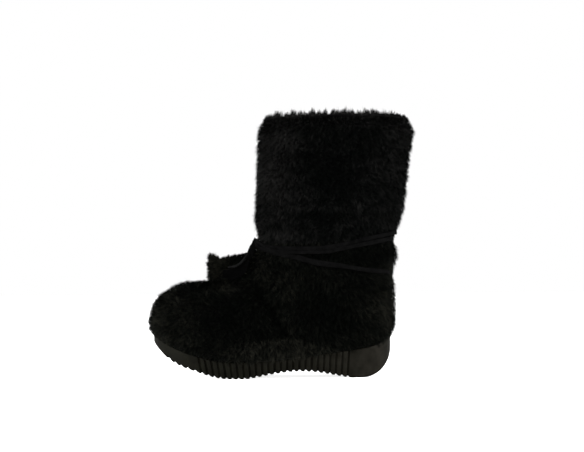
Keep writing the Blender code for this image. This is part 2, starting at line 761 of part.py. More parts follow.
def meshed(curve, collection, look):
    """The curve's tube as a mesh object, with its caps welded on."""
    collection.objects.link(curve)
    graph = bpy.context.evaluated_depsgraph_get()
    mesh = bpy.data.meshes.new_from_object(curve.evaluated_get(graph))
    shape = bmesh.new()
    shape.from_mesh(mesh)
    bmesh.ops.remove_doubles(shape, verts=shape.verts, dist=1e-6)
    bmesh.ops.recalc_face_normals(shape, faces=shape.faces)
    shape.to_mesh(mesh)
    shape.free()
    mesh.materials.clear()
    mesh.materials.append(look)
    mesh.shade_smooth()
    name, place = curve.name, curve.matrix_world.copy()
    bpy.data.objects.remove(curve, do_unlink=True)
    obj = bpy.data.objects.new(name, mesh)
    obj.matrix_world = place
    collection.objects.link(obj)
    return obj


def join_to(target, tool, cutters):
    """Makes tool part of target's solid."""
    cutters.objects.link(tool)
    for collection in list(tool.users_collection):
        if collection is not cutters:
            collection.objects.unlink(tool)
    tool.hide_render = True
    tool.display_type = "WIRE"
    union = target.modifiers.new("join_" + tool.name, "BOOLEAN")
    union.operation = "UNION"
    union.solver = "EXACT"
    union.object = tool


def lace_wraps(collection, cutters):
    look = suede_material()
    turns = {}
    for name in WRAP_COLUMNS[1:]:
        curve = cord_curve("wrap_" + name, wrap_route(name), THONG_DIAMETER, cyclic=True)
        turns[name] = meshed(curve, collection, look)
    wraps = turns["low"]
    wraps.name = "lace_wraps"
    join_to(wraps, turns["high"], cutters)
    join_to(wraps, turns["middle"], cutters)
    return wraps


def knot_route():
    """A trefoil, leaned back onto the instep and swung to the outer side."""
    turns = np.arange(KNOT_POINTS) * 2 * math.pi / KNOT_POINTS
    out = 2 + np.cos(3 * turns)
    flat = np.column_stack([out * np.cos(2 * turns), out * np.sin(2 * turns), np.sin(3 * turns)])
    lean, swing = math.radians(-KNOT_LEAN_DEGREES), math.radians(KNOT_SWING_DEGREES)
    tip = np.array([
        [math.cos(lean), 0, math.sin(lean)],
        [0, 1, 0],
        [-math.sin(lean), 0, math.cos(lean)],
    ])
    spin = np.array([
        [math.cos(swing), -math.sin(swing), 0],
        [math.sin(swing), math.cos(swing), 0],
        [0, 0, 1],
    ])
    return flat * KNOT_SCALE @ tip.T @ spin.T + np.array(KNOT_CENTRE)


def lace_knot(collection):
    curve = cord_curve("lace_knot", knot_route(), KNOT_CORD, cyclic=True)
    return meshed(curve, collection, suede_material())


def smooth_route(points, count):
    """Evenly spaced places on a smooth curve through hand-chosen points."""
    points = np.asarray(points, dtype=float)
    along = np.concatenate([[0], np.cumsum(np.linalg.norm(np.diff(points, axis=0), axis=1))])
    columns = ("along", "x", "y", "z")
    table = Table(columns, np.column_stack([along, points]))
    places = np.linspace(0, along[-1], count)
    return np.column_stack([table.at(name, places) for name in columns[1:]])


def lace_end(name, route, collection):
    curve = cord_curve(name, smooth_route(route, END_POINTS), END_DIAMETER)
    return meshed(curve, collection, suede_material())


def tab(name, rows, lean, look, collection):
    """A leaf of hide as a loft of flat oval sections; lean sets its lower edge outwards."""
    table = Table(TAB_COLUMNS, rows)
    angles = np.arange(TAB_SIDES) * 2 * math.pi / TAB_SIDES
    rings = []
    for place in np.linspace(0, len(rows) - 1, (len(rows) - 1) * TAB_STEPS + 1):
        x, y, top, bottom, thick = (table.at(c, place) for c in TAB_COLUMNS[1:])
        up = np.cos(angles) * (top - bottom) / 2
        side = np.sin(angles) * thick / 2
        rings.append([(x, y + lean * u + s, (top + bottom) / 2 + u) for u, s in zip(up, side)])
    points, faces = ring_loft(rings)
    return mesh_object(name, points, faces, collection, look)


def build():
    clear_scene()
    boot = new_collection("mukluk_boot")
    cutters = new_collection("joined_pieces")
    outsole(boot)
    insole(boot)
    upper(boot)
    lace_wraps(boot, cutters)
    lace_knot(boot)
    lace_end("lace_end_fur", FUR_END_ROUTE, boot)
    lace_end("lace_end_suede", SUEDE_END_ROUTE, boot)
    tab("tab_fur", FUR_TAB_ROWS, 0.0, black_fur_material(), boot)
    tab("tab_suede", SUEDE_TAB_ROWS, SUEDE_TAB_LEAN, suede_material(), boot)


build()
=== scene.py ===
"""Looks of the fur-out mukluk boot: pile on a pelt, thongs, tabs, rubber sole, light and camera.

The toe points along -X, the outer side faces -Y and +Z is up. Sizes are in millimetres, and MM
turns them into metres where a mesh is made. Floor, lights and camera are in metres.
"""

import math

import bmesh
import bpy
import numpy as np
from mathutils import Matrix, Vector
from mathutils.bvhtree import BVHTree
from mathutils.kdtree import KDTree


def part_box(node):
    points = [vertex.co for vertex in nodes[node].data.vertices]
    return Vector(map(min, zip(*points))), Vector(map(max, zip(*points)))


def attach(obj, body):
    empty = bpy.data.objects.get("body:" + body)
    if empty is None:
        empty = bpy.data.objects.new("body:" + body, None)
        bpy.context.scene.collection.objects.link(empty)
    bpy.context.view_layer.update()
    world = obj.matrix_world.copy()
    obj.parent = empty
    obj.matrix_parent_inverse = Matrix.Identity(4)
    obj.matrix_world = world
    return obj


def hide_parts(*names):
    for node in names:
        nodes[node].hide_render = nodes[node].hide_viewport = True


MM = 0.001


class Table:
    """Rows with named columns, read as smooth curves over the first column."""

    def __init__(self, columns, rows):
        values = np.array(rows, dtype=float)
        self.where = values[:, 0]
        self.columns = {
            name: (values[:, i], self.slopes(values[:, i]))
            for i, name in enumerate(columns)
        }

    def slopes(self, heights):
        step = np.diff(self.where)
        rise = np.diff(heights) / step
        slopes = np.concatenate([rise[:1], np.zeros(len(rise) - 1), rise[-1:]])
        before, after = rise[:-1], rise[1:]
        same_way = before * after > 0
        total = np.where(same_way, before + after, 1.0)
        slopes[1:-1] = np.where(same_way, 2 * before * after / total, 0.0)
        return slopes

    def at(self, name, place):
        heights, slopes = self.columns[name]
        place = np.clip(place, self.where[0], self.where[-1])
        i = np.clip(np.searchsorted(self.where, place) - 1, 0, len(self.where) - 2)
        step = self.where[i + 1] - self.where[i]
        t = (place - self.where[i]) / step
        return (
            (2 * t**3 - 3 * t**2 + 1) * heights[i]
            + (t**3 - 2 * t**2 + t) * step * slopes[i]
            + (3 * t**2 - 2 * t**3) * heights[i + 1]
            + (t**3 - t**2) * step * slopes[i + 1]
        )


# Pelt: the hide under the pile. Smoothing draws its points in, then lets them out.
WELD_DISTANCE = 0.01
PELT_VOXEL = 3
PELT_SMOOTHING = 26
SMOOTH_IN = 0.5
SMOOTH_OUT = -0.52
PELT_LAST_ROUNDS = 2

# A point is outside where a ray straight out meets nothing. There the pelt lies PILE deep.
RAY_START = 0.8
RAY_LENGTH = 260
OUTSIDE_BLUR = 6
OUTSIDE_GAIN = 1.6
OUTSIDE_SHIFT = 0.3
PILE = 3.2
PRESS_RELIEF = 0.8
RIM_RELIEF = 0.6
COLLAR_ROUND = 5.5

# Heights where a change up the boot begins, and how much higher it is full
RISES = {
    "comb": (120, 45),
    "crisp": (158, 20),
    "round": (284, 20),
    "pile": (290, 13),
    "density": (292, 8),
    "rim": (296, 6),
    "roots": (296, 4),
}

# Pile: strands that lean over as they grow, drawn together in clumps. Angles are in degrees.
STRANDS = 252000
STRAND_LENGTH = 8.6
STRAND_LENGTH_RANGE = (0.75, 1.12)
STRAND_WIDTH = 0.33
STRAND_WIDTH_RANGE = (0.7, 1.2)
STRAND_MID_WIDTH = 0.85
STRAND_TWIST = 50
STRAND_SPIN = 10
STRAND_LEAN = 7
CLUMP_SIZE = 9
CLUMP_LENGTH_RANGE = (0.78, 1.2)
CLUMP_SPIN = 22
CLUMP_LEAN = 9
CLUMP_PULL = 0.4
CLUMP_PULL_RANGE = (0.5, 1.0)
CLUMP_MID_PULL = 0.35
CLUMP_SPREAD = 0.2
LEAN_DEGREES = 40
CURL_DEGREES = 16
MOST_LEAN = 88
SWIRL_DEGREES = 26
SWIRL_REACH = 1.7

# Heights where the shaft's and the collar's pile begin
SHAFT_FROM_Z = 158
COLLAR_FROM_Z = 296

# How far outside a point has to be for pile, and how densely it grows
ROOTS_NEED = 0.55
ROOTS_AT_RIM = 0.4
ROOTS_AT_SOLE = 0.35
ROOTS_SOLE_HEIGHT = 3
ROOTS_SOLE_FADE = 6
OUTER_DENSITY = 1.12
INNER_DENSITY = 0.9
COLLAR_DENSITY = 0.5

# Pile just over the sole: short and upright, and behind the toe unevenly hanging
SOLE_PILE_HEIGHT = 12
SOLE_PILE_LENGTH = 0.55
SOLE_PILE_LEAN = 0.45
HANG_FROM_X = -205
HANG_FADE = 40
HANG_LENGTH = 0.25
HANG_UNEVEN = 0.2
HANG_LEAN = 0.65

# Pile at the collar and under a thong
COLLAR_SHORTER = 0.4
COLLAR_STRAIGHTER = 0.75
PRESS_SHORTER = 0.25
PRESS_LEAN = 14

# Short pile that curls every way, on toe and vamp and less so on the shaft
CRISP_FROM_X = -105
CRISP_FADE = 70
CRISP_BELOW_Z = 135
CRISP_EDGE = 20
CRISP_SHAFT = 0.4
CRISP_SPIN = 1.6
CRISP_SHORTER = 0.2
CRISP_STRAIGHTER = 0.3

# Tufts of the collar: mean share of its lift, and what broad and fine ones add
LIFT_MEAN = 0.66
BROAD_TUFTS = 0.2
FINE_TUFTS = 0.18
COLLAR_TOP_SHARE = 0.4
MID_LIFT = 0.35

# How far the pile stands up over the collar, from front corner to back
COLLAR = Table(("x", "lift"), (
    (-116, 9.5),
    (-98, 12.5),
    (-60, 13.4),
    (-25, 12),
    (22, 12.5),
    (37, 12),
    (48, 6),
))

# How far the pile is combed towards the heel for each part that hangs down. Most of this is lost
# from the ankle up.
COMB_ANKLE_LOSS = 0.85
COMB = Table(("x", "back"), (
    (-240, -1.3),
    (-190, -1.1),
    (-140, -0.7),
    (-95, -0.15),
    (-50, 0.1),
    (-10, 0.35),
    (40, 0.8),
))

# The seam and soft folds, as lines that fade at their ends: x and z of both ends, depth and
# half the width
FOLD_END = 0.15
FOLD_ROWS = (
    (-121, 113, -86, 52, 2.4, 3.8),
    (-86, 203, -36, 205, 1, 3.2),
    (-76, 191, -20, 188, 1.6, 3.2),
    (-84, 180, -52, 176, 1.2, 3),
    (20, 104, 46, 106, 2.2, 3),
    (-110, 262, -30, 258, 0.8, 6),
    (24, 170, 48, 169, 2.6, 2.6),
)

# Painted light and shade: places where the pile is made paler where light falls on it and deeper
# where shade lies: x, z, width, height and change
LIGHT_AND_SHADE_SPOTS = (
    (-94, 238, 38, 88, 0.35),
    (-22, 305, 110, 10, 0.46),
    (-92, 130, 24, 18, -0.12),
    (-113, 130, 8, 13, 0.34),
    (-42, 240, 34, 44, -0.28),
    (44, 235, 22, 70, 0.15),
    (-138, 78, 34, 28, -0.33),
    (-212, 72, 30, 30, 0.21),
    (-172, 108, 36, 9, -0.16),
    (-42, 82, 36, 34, -0.28),
    (32, 80, 20, 34, 0.24),
    (-70, 116, 18, 12, 0.12),
    (-81, 88, 12, 24, 0.22),
    (-150, 103, 18, 9, 0.5),
    (8, 141, 30, 9, -0.3),
    (-34, 143, 30, 6, -0.22),
    (-82, 277, 20, 16, 0.06),
    (-48, 198, 30, 6, 0.14),
    (-50, 188, 20, 6, -0.15),
)

# What each cause adds to a strand's tone
# The folds' share is painted shade, which darkens the pile in the seam and folds
FOLD_SHADE_TONE = 0.15
BAND_TONE = 0.33
PATCH_TONE = 0.09
SMALL_PATCHES = 0.7
BASE_TONE = -0.1
TONE_SPREAD = 0.9
TONE_START = 0.04
PALEST = 0.999

# The line between vamp and quarter
SEAM_Z = (52, 113, 150)
SEAM_X = (-86, -121, -128)

# Outsole
SOLE_TOE_X = -241.5
SOLE_HEEL_X = 38
BALL_X = -146
TOE_ROCKER_RADIUS = 122
NOSE_DROP = 3.8
NOSE_DROP_START = 46
NOSE_DROP_LENGTH = 34
HEEL_ROUND_X = 3
HEEL_ROUND_RADIUS = 35
ARCH_START_X = -134
ARCH_END_X = -6
ARCH_RISE = 8.1
ARCH_POWER = 1.3
WALL_DRAFT = 0.14
MOST_DRAFT = 0.35
RIB_PITCH = 7.2
RIB_FIRST_X = -187
RIB_LAST_X = -13.1
GROOVE_DEPTH = 1.7
GROOVE_PLACE = 0.14
GROOVE_HALF_WIDTH = 0.17
GROOVE_POWER = 4
RIB_BULGE = 0.8
RIB_POWER = 2.5
RIB_FULL_REACH = 12
TOOTH_FIRST_X = -221.9
TOOTH_RISE = 1.8

# Parts of a pitch: where a tooth has risen, where it starts to fall, and the fall
TOOTH_RISEN = 0.08
TOOTH_FALLS = 0.22
TOOTH_FALL = 0.4

# The outsole's edges, wall rows and stations
SOLE_EDGE = 1.4
MOST_EDGE = 0.25
TOP_EDGE_SHARE = 0.5
TOP_RIM = 9
TOP_RIM_SHARE = 0.5
WALL_SHARES = (0.15, 0.85)
WALL_ROWS = 5
FIRST_RIBBED_ROW = 3
LAST_RIBBED_ROW = 11
BOTTOM_RIM_SHARE = 0.6
SOLE_STEP = 0.6
NOSE_LENGTH = 20
NOSE_STATIONS = 24
HEEL_STATIONS = 40
HEEL_AFTER_RIB = 1.2

SOLE = Table(("x", "top", "lateral", "medial"), (
    (-241.5, 49.6, -8, 10),
    (-240.9, 49.2, -2.5, 15),
    (-238.8, 48.2, 4, 20.5),
    (-231.2, 43.5, 14.5, 29.5),
    (-218, 37, 26, 38.5),
    (-201, 30.2, 38, 45.5),
    (-182, 24.8, 45, 48),
    (-165, 21.2, 48.5, 48),
    (-146, 19.3, 49.5, 46),
    (-124, 19.4, 48, 42),
    (-98, 20.8, 43.5, 35.5),
    (-66, 24, 39, 32),
    (-36, 28.6, 37, 33),
    (-10, 31.8, 35.5, 34.5),
    (10, 35, 31.5, 32.5),
    (23, 39, 25.5, 26.5),
    (32, 43.5, 17, 18),
    (36.8, 46.4, 8.5, 9),
    (37.7, 46.8, 4.5, 4.5),
    (38, 46.9, 1, 1),
))

# Painted light: the rubber's share of its mottled tone along the sole, paler towards the lit
# heel and rear ribs: x, red, green and blue
RUBBER_LIGHT_ROWS = (
    (-241.5, 0.5, 0.53, 0.42),
    (-190, 0.54, 0.56, 0.46),
    (-180, 0.5, 0.54, 0.45),
    (-72, 0.54, 0.56, 0.5),
    (-24, 1.0, 1.0, 1.0),
    (-5, 0.96, 0.95, 0.98),
    (38, 0.96, 0.9, 0.86),
)

# The paler band of pile over the sole: fainter ahead, and soft at its upper edge
BAND_FADE_X = -150
BAND_FADE = 48
BAND_AHEAD = 0.2
BAND_OVER = 3
BAND_EDGE = 5
BAND = Table(("x", "height"), (
    (-180, 2),
    (-150, 18),
    (-120, 26),
    (-91, 26),
    (-60, 18),
    (-24, 3),
))

# Lean of the ribs along the sole, which fades at both ends
LEAN_AHEAD = 20
LEAN_END_X = 15
LEAN_FADE = 25
LEAN_SHARE = 0.9
RIB_LEAN = Table(("x", "lean"), ((-187, 0.22), (-100, 0.04), (-9, -0.08)))

# Thongs: the height of each one at a turn in degrees from the front
WRAP_COLUMNS = ("turn", "high", "middle", "low")
WRAP = Table(WRAP_COLUMNS, (
    (0, 161.2, 157.4, 158.6),
    (14, 158.8, 154.8, 156.4),
    (30, 153.8, 149.8, 151),
    (46, 150.6, 146.4, 145.2),
    (60, 149.6, 145.4, 141.2),
    (85, 150, 145.6, 132.2),
    (103, 153.8, 149.4, 129.1),
    (122, 160, 154.6, 124.6),
    (145, 165.6, 159.6, 122.3),
    (165, 168.3, 162.6, 121.6),
    (180, 168.8, 163.4, 121.4),
))
THONG_RADIUS = 1.7
THONG_WIDTH = 5.1
THONG_THICKNESS = 2
THONG_STATIONS = 300
THONG_SIDES = 14
LOW_THONG_WIDER = 0.4
THONG_PRESS = 6
THONG_FRONT_RISE = 2.5
THONG_FRONT_SPAN = 14
ROUTE_ROUNDS = 6
PROBE_OUT = 200
PROBE_LENGTH = 180
STRIP_POWER = 0.7
RIDGE = 0.16
RIDGE_MEAN = 0.6

# Waves along a thong: height, count and start. The roll's heights are in degrees.
ROLL_WAVES = ((9.0, 5, 1.0), (5.0, 13, 0.0))
WIDTH_WAVES = ((0.07, 9, 0.0), (0.04, 31, 2.0))
RIDGE_WAVES = ((0.4, 7, 0.0),)

# Where each thong goes under the pile behind the ankle, and how deep
COVER_TURNS = {"high": 172, "middle": 152, "low": 146}
COVER_FADE = 14
COVER_DEPTH = 3.2

# Free ends of the thong, from knot to tabs
END_DIAMETER = 2.2
END_POINTS = 14
FUR_END_ROUTE = (
    (-130.5, -5.8, 145.2),
    (-134.4, -6.2, 143.6),
    (-139, -6.6, 142.4),
    (-145.5, -6.8, 141.2),
    (-152.5, -6.8, 139.4),
    (-157.5, -6.6, 138.3),
    (-161.2, -6.4, 138.2),
)
SUEDE_END_ROUTE = (
    (-125.9, -11.2, 151.4),
    (-127.9, -17, 146.8),
    (-130.8, -21.6, 141.4),
    (-134.4, -25.4, 136.4),
    (-138.8, -28.6, 132.2),
    (-144.4, -31.2, 129.4),
    (-151, -33, 128.6),
)

# Tabs
TAB_COLUMNS = ("along", "x", "y", "top", "bottom", "thickness")
FUR_TAB_ROWS = (
    (0, -132, -6.4, 143.6, 134, 4),
    (1, -140, -6.8, 143, 129.2, 6),
    (2, -151, -7, 140.2, 123, 7.5),
    (3, -160, -6.8, 138.8, 115.4, 8),
    (4, -168, -6.4, 143.2, 112.6, 8),
    (5, -173, -6, 145.4, 112, 5.5),
)
SUEDE_TAB_ROWS = (
    (0, -126, -24.4, 144.2, 135.6, 2.8),
    (1, -131.5, -28.2, 137.6, 121.5, 3.4),
    (2, -139.5, -32.9, 130.2, 116, 3.8),
    (3, -148, -36.2, 127, 114.8, 3.8),
    (4, -157, -37.6, 125.2, 117.6, 2.6),
)
LEAST_TAB_HEIGHT = 0.8
LEAST_TAB_THICKNESS = 0.9
SUEDE_TAB_LEAN = 1
SUEDE_TAB_POWER = 0.55
CUT_EDGE_PART = 8
FUR_TAB_INSET = 2.4
FUR_TAB_THINNER = 5
FUR_TAB_HEART = (-150.0, -7.0, 128.0)

# The tab's pile, deeper in tone towards the knot
TAB_STRANDS = 9000
TAB_STRAND_WIDTH = 0.45
TAB_PILE = 6.5
TAB_LEAN = 42
TAB_TONE_SPREAD = 0.8
TAB_TONE_START = 0.31
TAB_SHADE = 0.7
TAB_SHADE_FROM_X = -154
TAB_SHADE_LENGTH = 14

# Knot: a wide strap that folds down to the suede tab, and a coil behind it
STRAP = Table(("along", "x", "y", "z", "width"), (
    (0, -119.4, -4.6, 160.4, 7.2),
    (1, -121.2, -9, 156.2, 7.2),
    (2, -122.8, -13, 151.6, 9.4),
    (3, -124.6, -17, 147.2, 8.6),
    (4, -125.8, -20.5, 142.8, 8),
    (5, -127.4, -23.6, 139, 5),
))
STRAP_THICKNESS = 2
STRAP_STEPS = 8
STRAP_FACING = (-0.25, -1.0, 0.1)
STRAP_WAVES = ((0.05, 5, 0.0),)
COIL_CENTRE = (-122.8, -7.0, 150.2)
COIL_SCALE = 1.35
COIL_WIDTH = 4.2
COIL_THICKNESS = 2.4
COIL_LEAN_DEGREES = 62
COIL_STATIONS = 120

# Fine grain: how much finer than the patches, and its height in metres
GRAIN_FINER = 14
GRAIN_HEIGHT = 0.0004

# Tones of the pile on the shaft and, more olive, on the foot and the tab
SHAFT_TONES = (
    ("pile_deep", (0.0003, 0.0005, 0.0004)),
    ("pile_dark", (0.0012, 0.0015, 0.0013)),
    ("pile_mid", (0.0035, 0.0036, 0.0034)),
    ("pile_pale", (0.0092, 0.0091, 0.0086)),
)
FOOT_TONES = (
    ("foot_pile_deep", (0.0003, 0.0005, 0.0003)),
    ("foot_pile_dark", (0.0012, 0.0015, 0.0011)),
    ("foot_pile_mid", (0.0035, 0.0037, 0.0029)),
    ("foot_pile_pale", (0.0094, 0.0093, 0.007)),
)

# Stage
FLOOR_REACH = 6.0
FLOOR_GLOW = 0.85
# Lights: name, place, aim, size and power
LIGHTS = (
    ("front_side", (-1.5, -0.55, 0.7), (-0.1, 0.0, 0.15), 1.0, 60.0),
    ("heel_side", (1.4, -0.5, 0.6), (0.0, 0.0, 0.12), 1.0, 56.0),
)
CAMERA_DISTANCE = 1.5
CAMERA_HEIGHT = 0.12
CAMERA_AIM = (-0.0769, -0.02, 0.1763)
CAMERA_LENS = 79.2
CAMERA_ROLL = -0.4


def smooth_step(value):
    value = np.clip(value, 0.0, 1.0)
    return value * value * (3 - 2 * value)


def risen(name, z):
    """How far a change up the boot has gone at a height, from 0 to 1."""
    start, height = RISES[name]
    return np.clip((z - start) / height, 0.0, 1.0)


def unit(vectors):
    return vectors / np.maximum(np.linalg.norm(vectors, axis=-1, keepdims=True), 1e-9)


def level_share(normals):
    """How near normals are to level, from 0 to 1."""
    return np.sqrt(np.clip(1 - normals[:, 2] ** 2, 0, 1))


def along_surface(way, normals, degrees):
    """Ways laid along a surface and turned on it."""
    way = unit(way - normals * (way * normals).sum(axis=1, keepdims=True))
    turn = np.radians(degrees)[:, None]
    return way * np.cos(turn) + np.cross(normals, way) * np.sin(turn)


def even_turns(count):
    """Angles spaced evenly round a circle."""
    return np.arange(count) * 2 * math.pi / count


def waves(place, rows):
    """A sum of sine waves at a place, each with its height, count and start."""
    return sum(height * math.sin(count * place + start) for height, count, start in rows)


# Materials


def set_inputs(node, values):
    for socket, value in values.items():
        node.inputs[socket].default_value = value


def new_node(material, kind, values=()):
    """A shader node of a kind, with its inputs set."""
    made = material.node_tree.nodes.new("ShaderNode" + kind)
    set_inputs(made, dict(values))
    return made


def shader_of(material):
    return material.node_tree.nodes["Principled BSDF"]


def wire(material, start, output, end, socket):
    material.node_tree.links.new(start.outputs[output], end.inputs[socket])


def plain_material(name, colour, roughness, specular):
    made = bpy.data.materials.new(name)
    made.use_nodes = True
    set_inputs(shader_of(made), {"Base Color": (*colour, 1.0), "Roughness": roughness})
    set_inputs(shader_of(made), {"Specular IOR Level": specular})
    return made


def grained_material(name, dark, light, roughness, specular, scale, bump):
    """Two tones mixed by soft noise, with a fine grain in the bump."""
    made = plain_material(name, dark, roughness, specular)
    shader = shader_of(made)
    place = new_node(made, "TexCoord")
    patches = new_node(made, "TexNoise", {"Scale": scale, "Detail": 6.0, "Roughness": 0.6})
    tones = new_node(made, "ValToRGB")
    for element, position, tone in zip(tones.color_ramp.elements, (0.35, 0.7), (dark, light)):
        element.position = position
        element.color = (*tone, 1.0)
    grain = new_node(made, "TexNoise", {"Scale": scale * GRAIN_FINER, "Detail": 4.0})
    height = new_node(made, "Bump", {"Strength": bump, "Distance": GRAIN_HEIGHT})
    wire(made, place, "Object", patches, "Vector")
    wire(made, place, "Object", grain, "Vector")
    wire(made, patches, "Fac", tones, "Fac")
    wire(made, tones, "Color", shader, "Base Color")
    wire(made, grain, "Fac", height, "Height")
    wire(made, height, "Normal", shader, "Normal")
    return made


def pile_materials(tones):
    """Tones of the pile from deepest to palest."""
    return [plain_material(name, tone, roughness=0.6, specular=0.012) for name, tone in tones]


def rubber_material():
    """Dusty rubber, mottled, with painted light changing its tone along the sole, paler towards
    the heel.
    """
    made = grained_material(
        "sole_rubber", dark=(0.002, 0.0018, 0.001), light=(0.0062, 0.0058, 0.0042),
        roughness=0.6, specular=0.022, scale=70.0, bump=0.3
    )
    shader = shader_of(made)
    mottled = shader.inputs["Base Color"].links[0].from_node
    place = new_node(made, "TexCoord")
    parts = new_node(made, "SeparateXYZ")
    ends = {"From Min": SOLE_TOE_X * MM, "From Max": SOLE_HEEL_X * MM}
    along = new_node(made, "MapRange", ends)
    # Painted light: the tone along the sole, paler towards the heel
    painted_light = new_node(made, "ValToRGB")
    elements = painted_light.color_ramp.elements
    while len(elements) < len(RUBBER_LIGHT_ROWS):
        elements.new(0.5)
    for element, (x, *tone) in zip(elements, RUBBER_LIGHT_ROWS):
        element.position = (x - SOLE_TOE_X) / (SOLE_HEEL_X - SOLE_TOE_X)
        element.color = (*tone, 1.0)
    toned = new_node(made, "VectorMath")
    toned.operation = "MULTIPLY"
    wire(made, place, "Object", parts, "Vector")
    wire(made, parts, "X", along, "Value")
    wire(made, along, "Result", painted_light, "Fac")
    wire(made, mottled, "Color", toned, 0)
    wire(made, painted_light, "Color", toned, 1)
    wire(made, toned, "Vector", shader, "Base Color")
    return made


def hide_material():
    return grained_material(
        "hide_under_pile", dark=(0.0006,) * 3, light=(0.001,) * 3,
        roughness=0.95, specular=0.02, scale=60.0, bump=0.3
    )


def lining_material():
    return grained_material(
        "plush_lining", dark=(0.003,) * 3, light=(0.006, 0.006, 0.0055),
        roughness=0.95, specular=0.03, scale=90.0, bump=0.8
    )


def felt_material():
    return grained_material(
        "footbed_felt_looks", dark=(0.012, 0.011, 0.01), light=(0.022, 0.02, 0.018),
        roughness=0.97, specular=0.03, scale=120.0, bump=0.7
    )


def suede_material(name, dark, light, specular=0.012):
    return grained_material(
        name, dark=(dark,) * 3, light=(light,) * 3,
        roughness=0.9, specular=specular, scale=160.0, bump=0.6
    )


# Meshes


def linked(name, data):
    obj = bpy.data.objects.new(name, data)
    bpy.context.scene.collection.objects.link(obj)
    return obj


def mesh_object(name, points, faces, looks):
    """An object from points in millimetres."""
    mesh = bpy.data.meshes.new(name)
    mesh.from_pydata((np.asarray(points) * MM).tolist(), [], faces)
    shape = bmesh.new()
    shape.from_mesh(mesh)
    bmesh.ops.recalc_face_normals(shape, faces=shape.faces)
    shape.to_mesh(mesh)
    shape.free()
    for look in looks:
        mesh.materials.append(look)
    mesh.shade_smooth()
    return linked(name, mesh)


def ring_loft(rings, cyclic=False):
    """Points and faces over rings, closed at both ends or joined into a loop."""
    count, total = len(rings[0]), len(rings)
    points = np.concatenate(rings)
    faces = []
    for r in range(total if cyclic else total - 1):
        s = (r + 1) % total
        for c in range(count):
            d = (c + 1) % count
            faces.append((r * count + c, r * count + d, s * count + d, s * count + c))
    if not cyclic:
        faces.append(tuple(range(count)))
        faces.append(tuple(range((total - 1) * count, total * count)))
    return points, faces


class Skin:
    """A triangle surface in millimetres, with smooth normals at its points."""

    def __init__(self, points, triangles):
        self.points, self.triangles = points, triangles
        self.refresh()

    def refresh(self):
        a, b, c = (self.points[self.triangles[:, i]] for i in range(3))
        self.face = np.cross(b - a, c - a)
        total = np.zeros_like(self.points)
        for i in range(3):
            for k in range(3):
                total[:, k] += np.bincount(
                    self.triangles[:, i], self.face[:, k], len(self.points)
                )
        self.normals = unit(total)

    def tree(self):
        return BVHTree.FromPolygons(self.points.tolist(), self.triangles.tolist())

    def scatter(self, count, weight, rng):
        """Places on the surface, spread by weight, and their normals."""
        area = np.linalg.norm(self.face, axis=1) * weight[self.triangles].mean(axis=1)
        total = np.cumsum(area)
        chosen = np.searchsorted(total, rng.random(count) * total[-1])
        u, v = rng.random(count), rng.random(count)
        over = u + v > 1
        u, v = np.where(over, 1 - u, u), np.where(over, 1 - v, v)
        share = np.stack([1 - u - v, u, v], axis=1)[..., None]
        corners = self.triangles[chosen]
        places = (self.points[corners] * share).sum(axis=1)
        return places, unit((self.normals[corners] * share).sum(axis=1))


def skin_of(obj):
    """The evaluated mesh of an object as a Skin."""
    graph = bpy.context.evaluated_depsgraph_get()
    mesh = obj.evaluated_get(graph).to_mesh()
    mesh.calc_loop_triangles()
    points = np.empty(len(mesh.vertices) * 3)
    mesh.vertices.foreach_get("co", points)
    triangles = np.empty(len(mesh.loop_triangles) * 3, dtype=np.int32)
    mesh.loop_triangles.foreach_get("vertices", triangles)
    skin = Skin(points.reshape(-1, 3) / MM, triangles.reshape(-1, 3))
    obj.evaluated_get(graph).to_mesh_clear()
    return skin


def skin_edges(skin):
    t = skin.triangles
    pairs = np.concatenate([t[:, [0, 1]], t[:, [1, 2]], t[:, [2, 0]]])
    return np.unique(np.sort(pairs, axis=1), axis=0)


def blurred(values, edges, rounds, strength=0.5):
    """Values at the points, each drawn towards the mean of its neighbours."""
    values = np.array(values, dtype=float)
    flat = values.reshape(len(values), -1)
    a, b = edges[:, 0], edges[:, 1]
    count = np.bincount(a, minlength=len(flat)) + np.bincount(b, minlength=len(flat))
    for _ in range(rounds):
        for k in range(flat.shape[1]):
            column = flat[:, k]
            total = np.bincount(a, column[b], len(flat)) + np.bincount(b, column[a], len(flat))
            flat[:, k] = column + strength * (total / count - column)
    return flat.reshape(values.shape)


# Pelt


def thong_box():
    """The low and high corner of the solid thongs."""
    return [np.array(corner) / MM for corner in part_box("lace_wraps")]


def thong_press(points):
    """How near a point is to a thong, from 0 to 1."""
    low, high = thong_box()
    centre, half = (low[0] + high[0]) / 2, (high[0] - low[0]) / 2
    turn = np.degrees(np.arccos(np.clip((centre - points[:, 0]) / half, -1, 1)))
    near = np.zeros(len(points))
    for name in WRAP_COLUMNS[1:]:
        off = (points[:, 2] - WRAP.at(name, turn)) / THONG_PRESS
        near = np.maximum(near, np.exp(-(off**2)) * (1 - thong_cover(name, turn)))
    return near


def thong_cover(name, turn):
    """How far a thong lies under the pile, from 0 to 1."""
    return smooth_step((turn - COVER_TURNS[name]) / COVER_FADE)


def fold_depth(points):
    """How deep the folds and the seam are at a point."""
    depth = np.zeros(len(points))
    for x0, z0, x1, z1, deep, half_width in FOLD_ROWS:
        along = np.array([x1 - x0, z1 - z0])
        off = points[:, [0, 2]] - (x0, z0)
        t = (off @ along) / (along @ along)
        away = np.abs(off[:, 0] * along[1] - off[:, 1] * along[0]) / np.linalg.norm(along)
        starts = smooth_step((t + FOLD_END) / (2 * FOLD_END))
        ends = starts * smooth_step((1 + FOLD_END - t) / (2 * FOLD_END))
        depth += deep * np.exp(-((away / half_width) ** 2)) * ends
    return depth


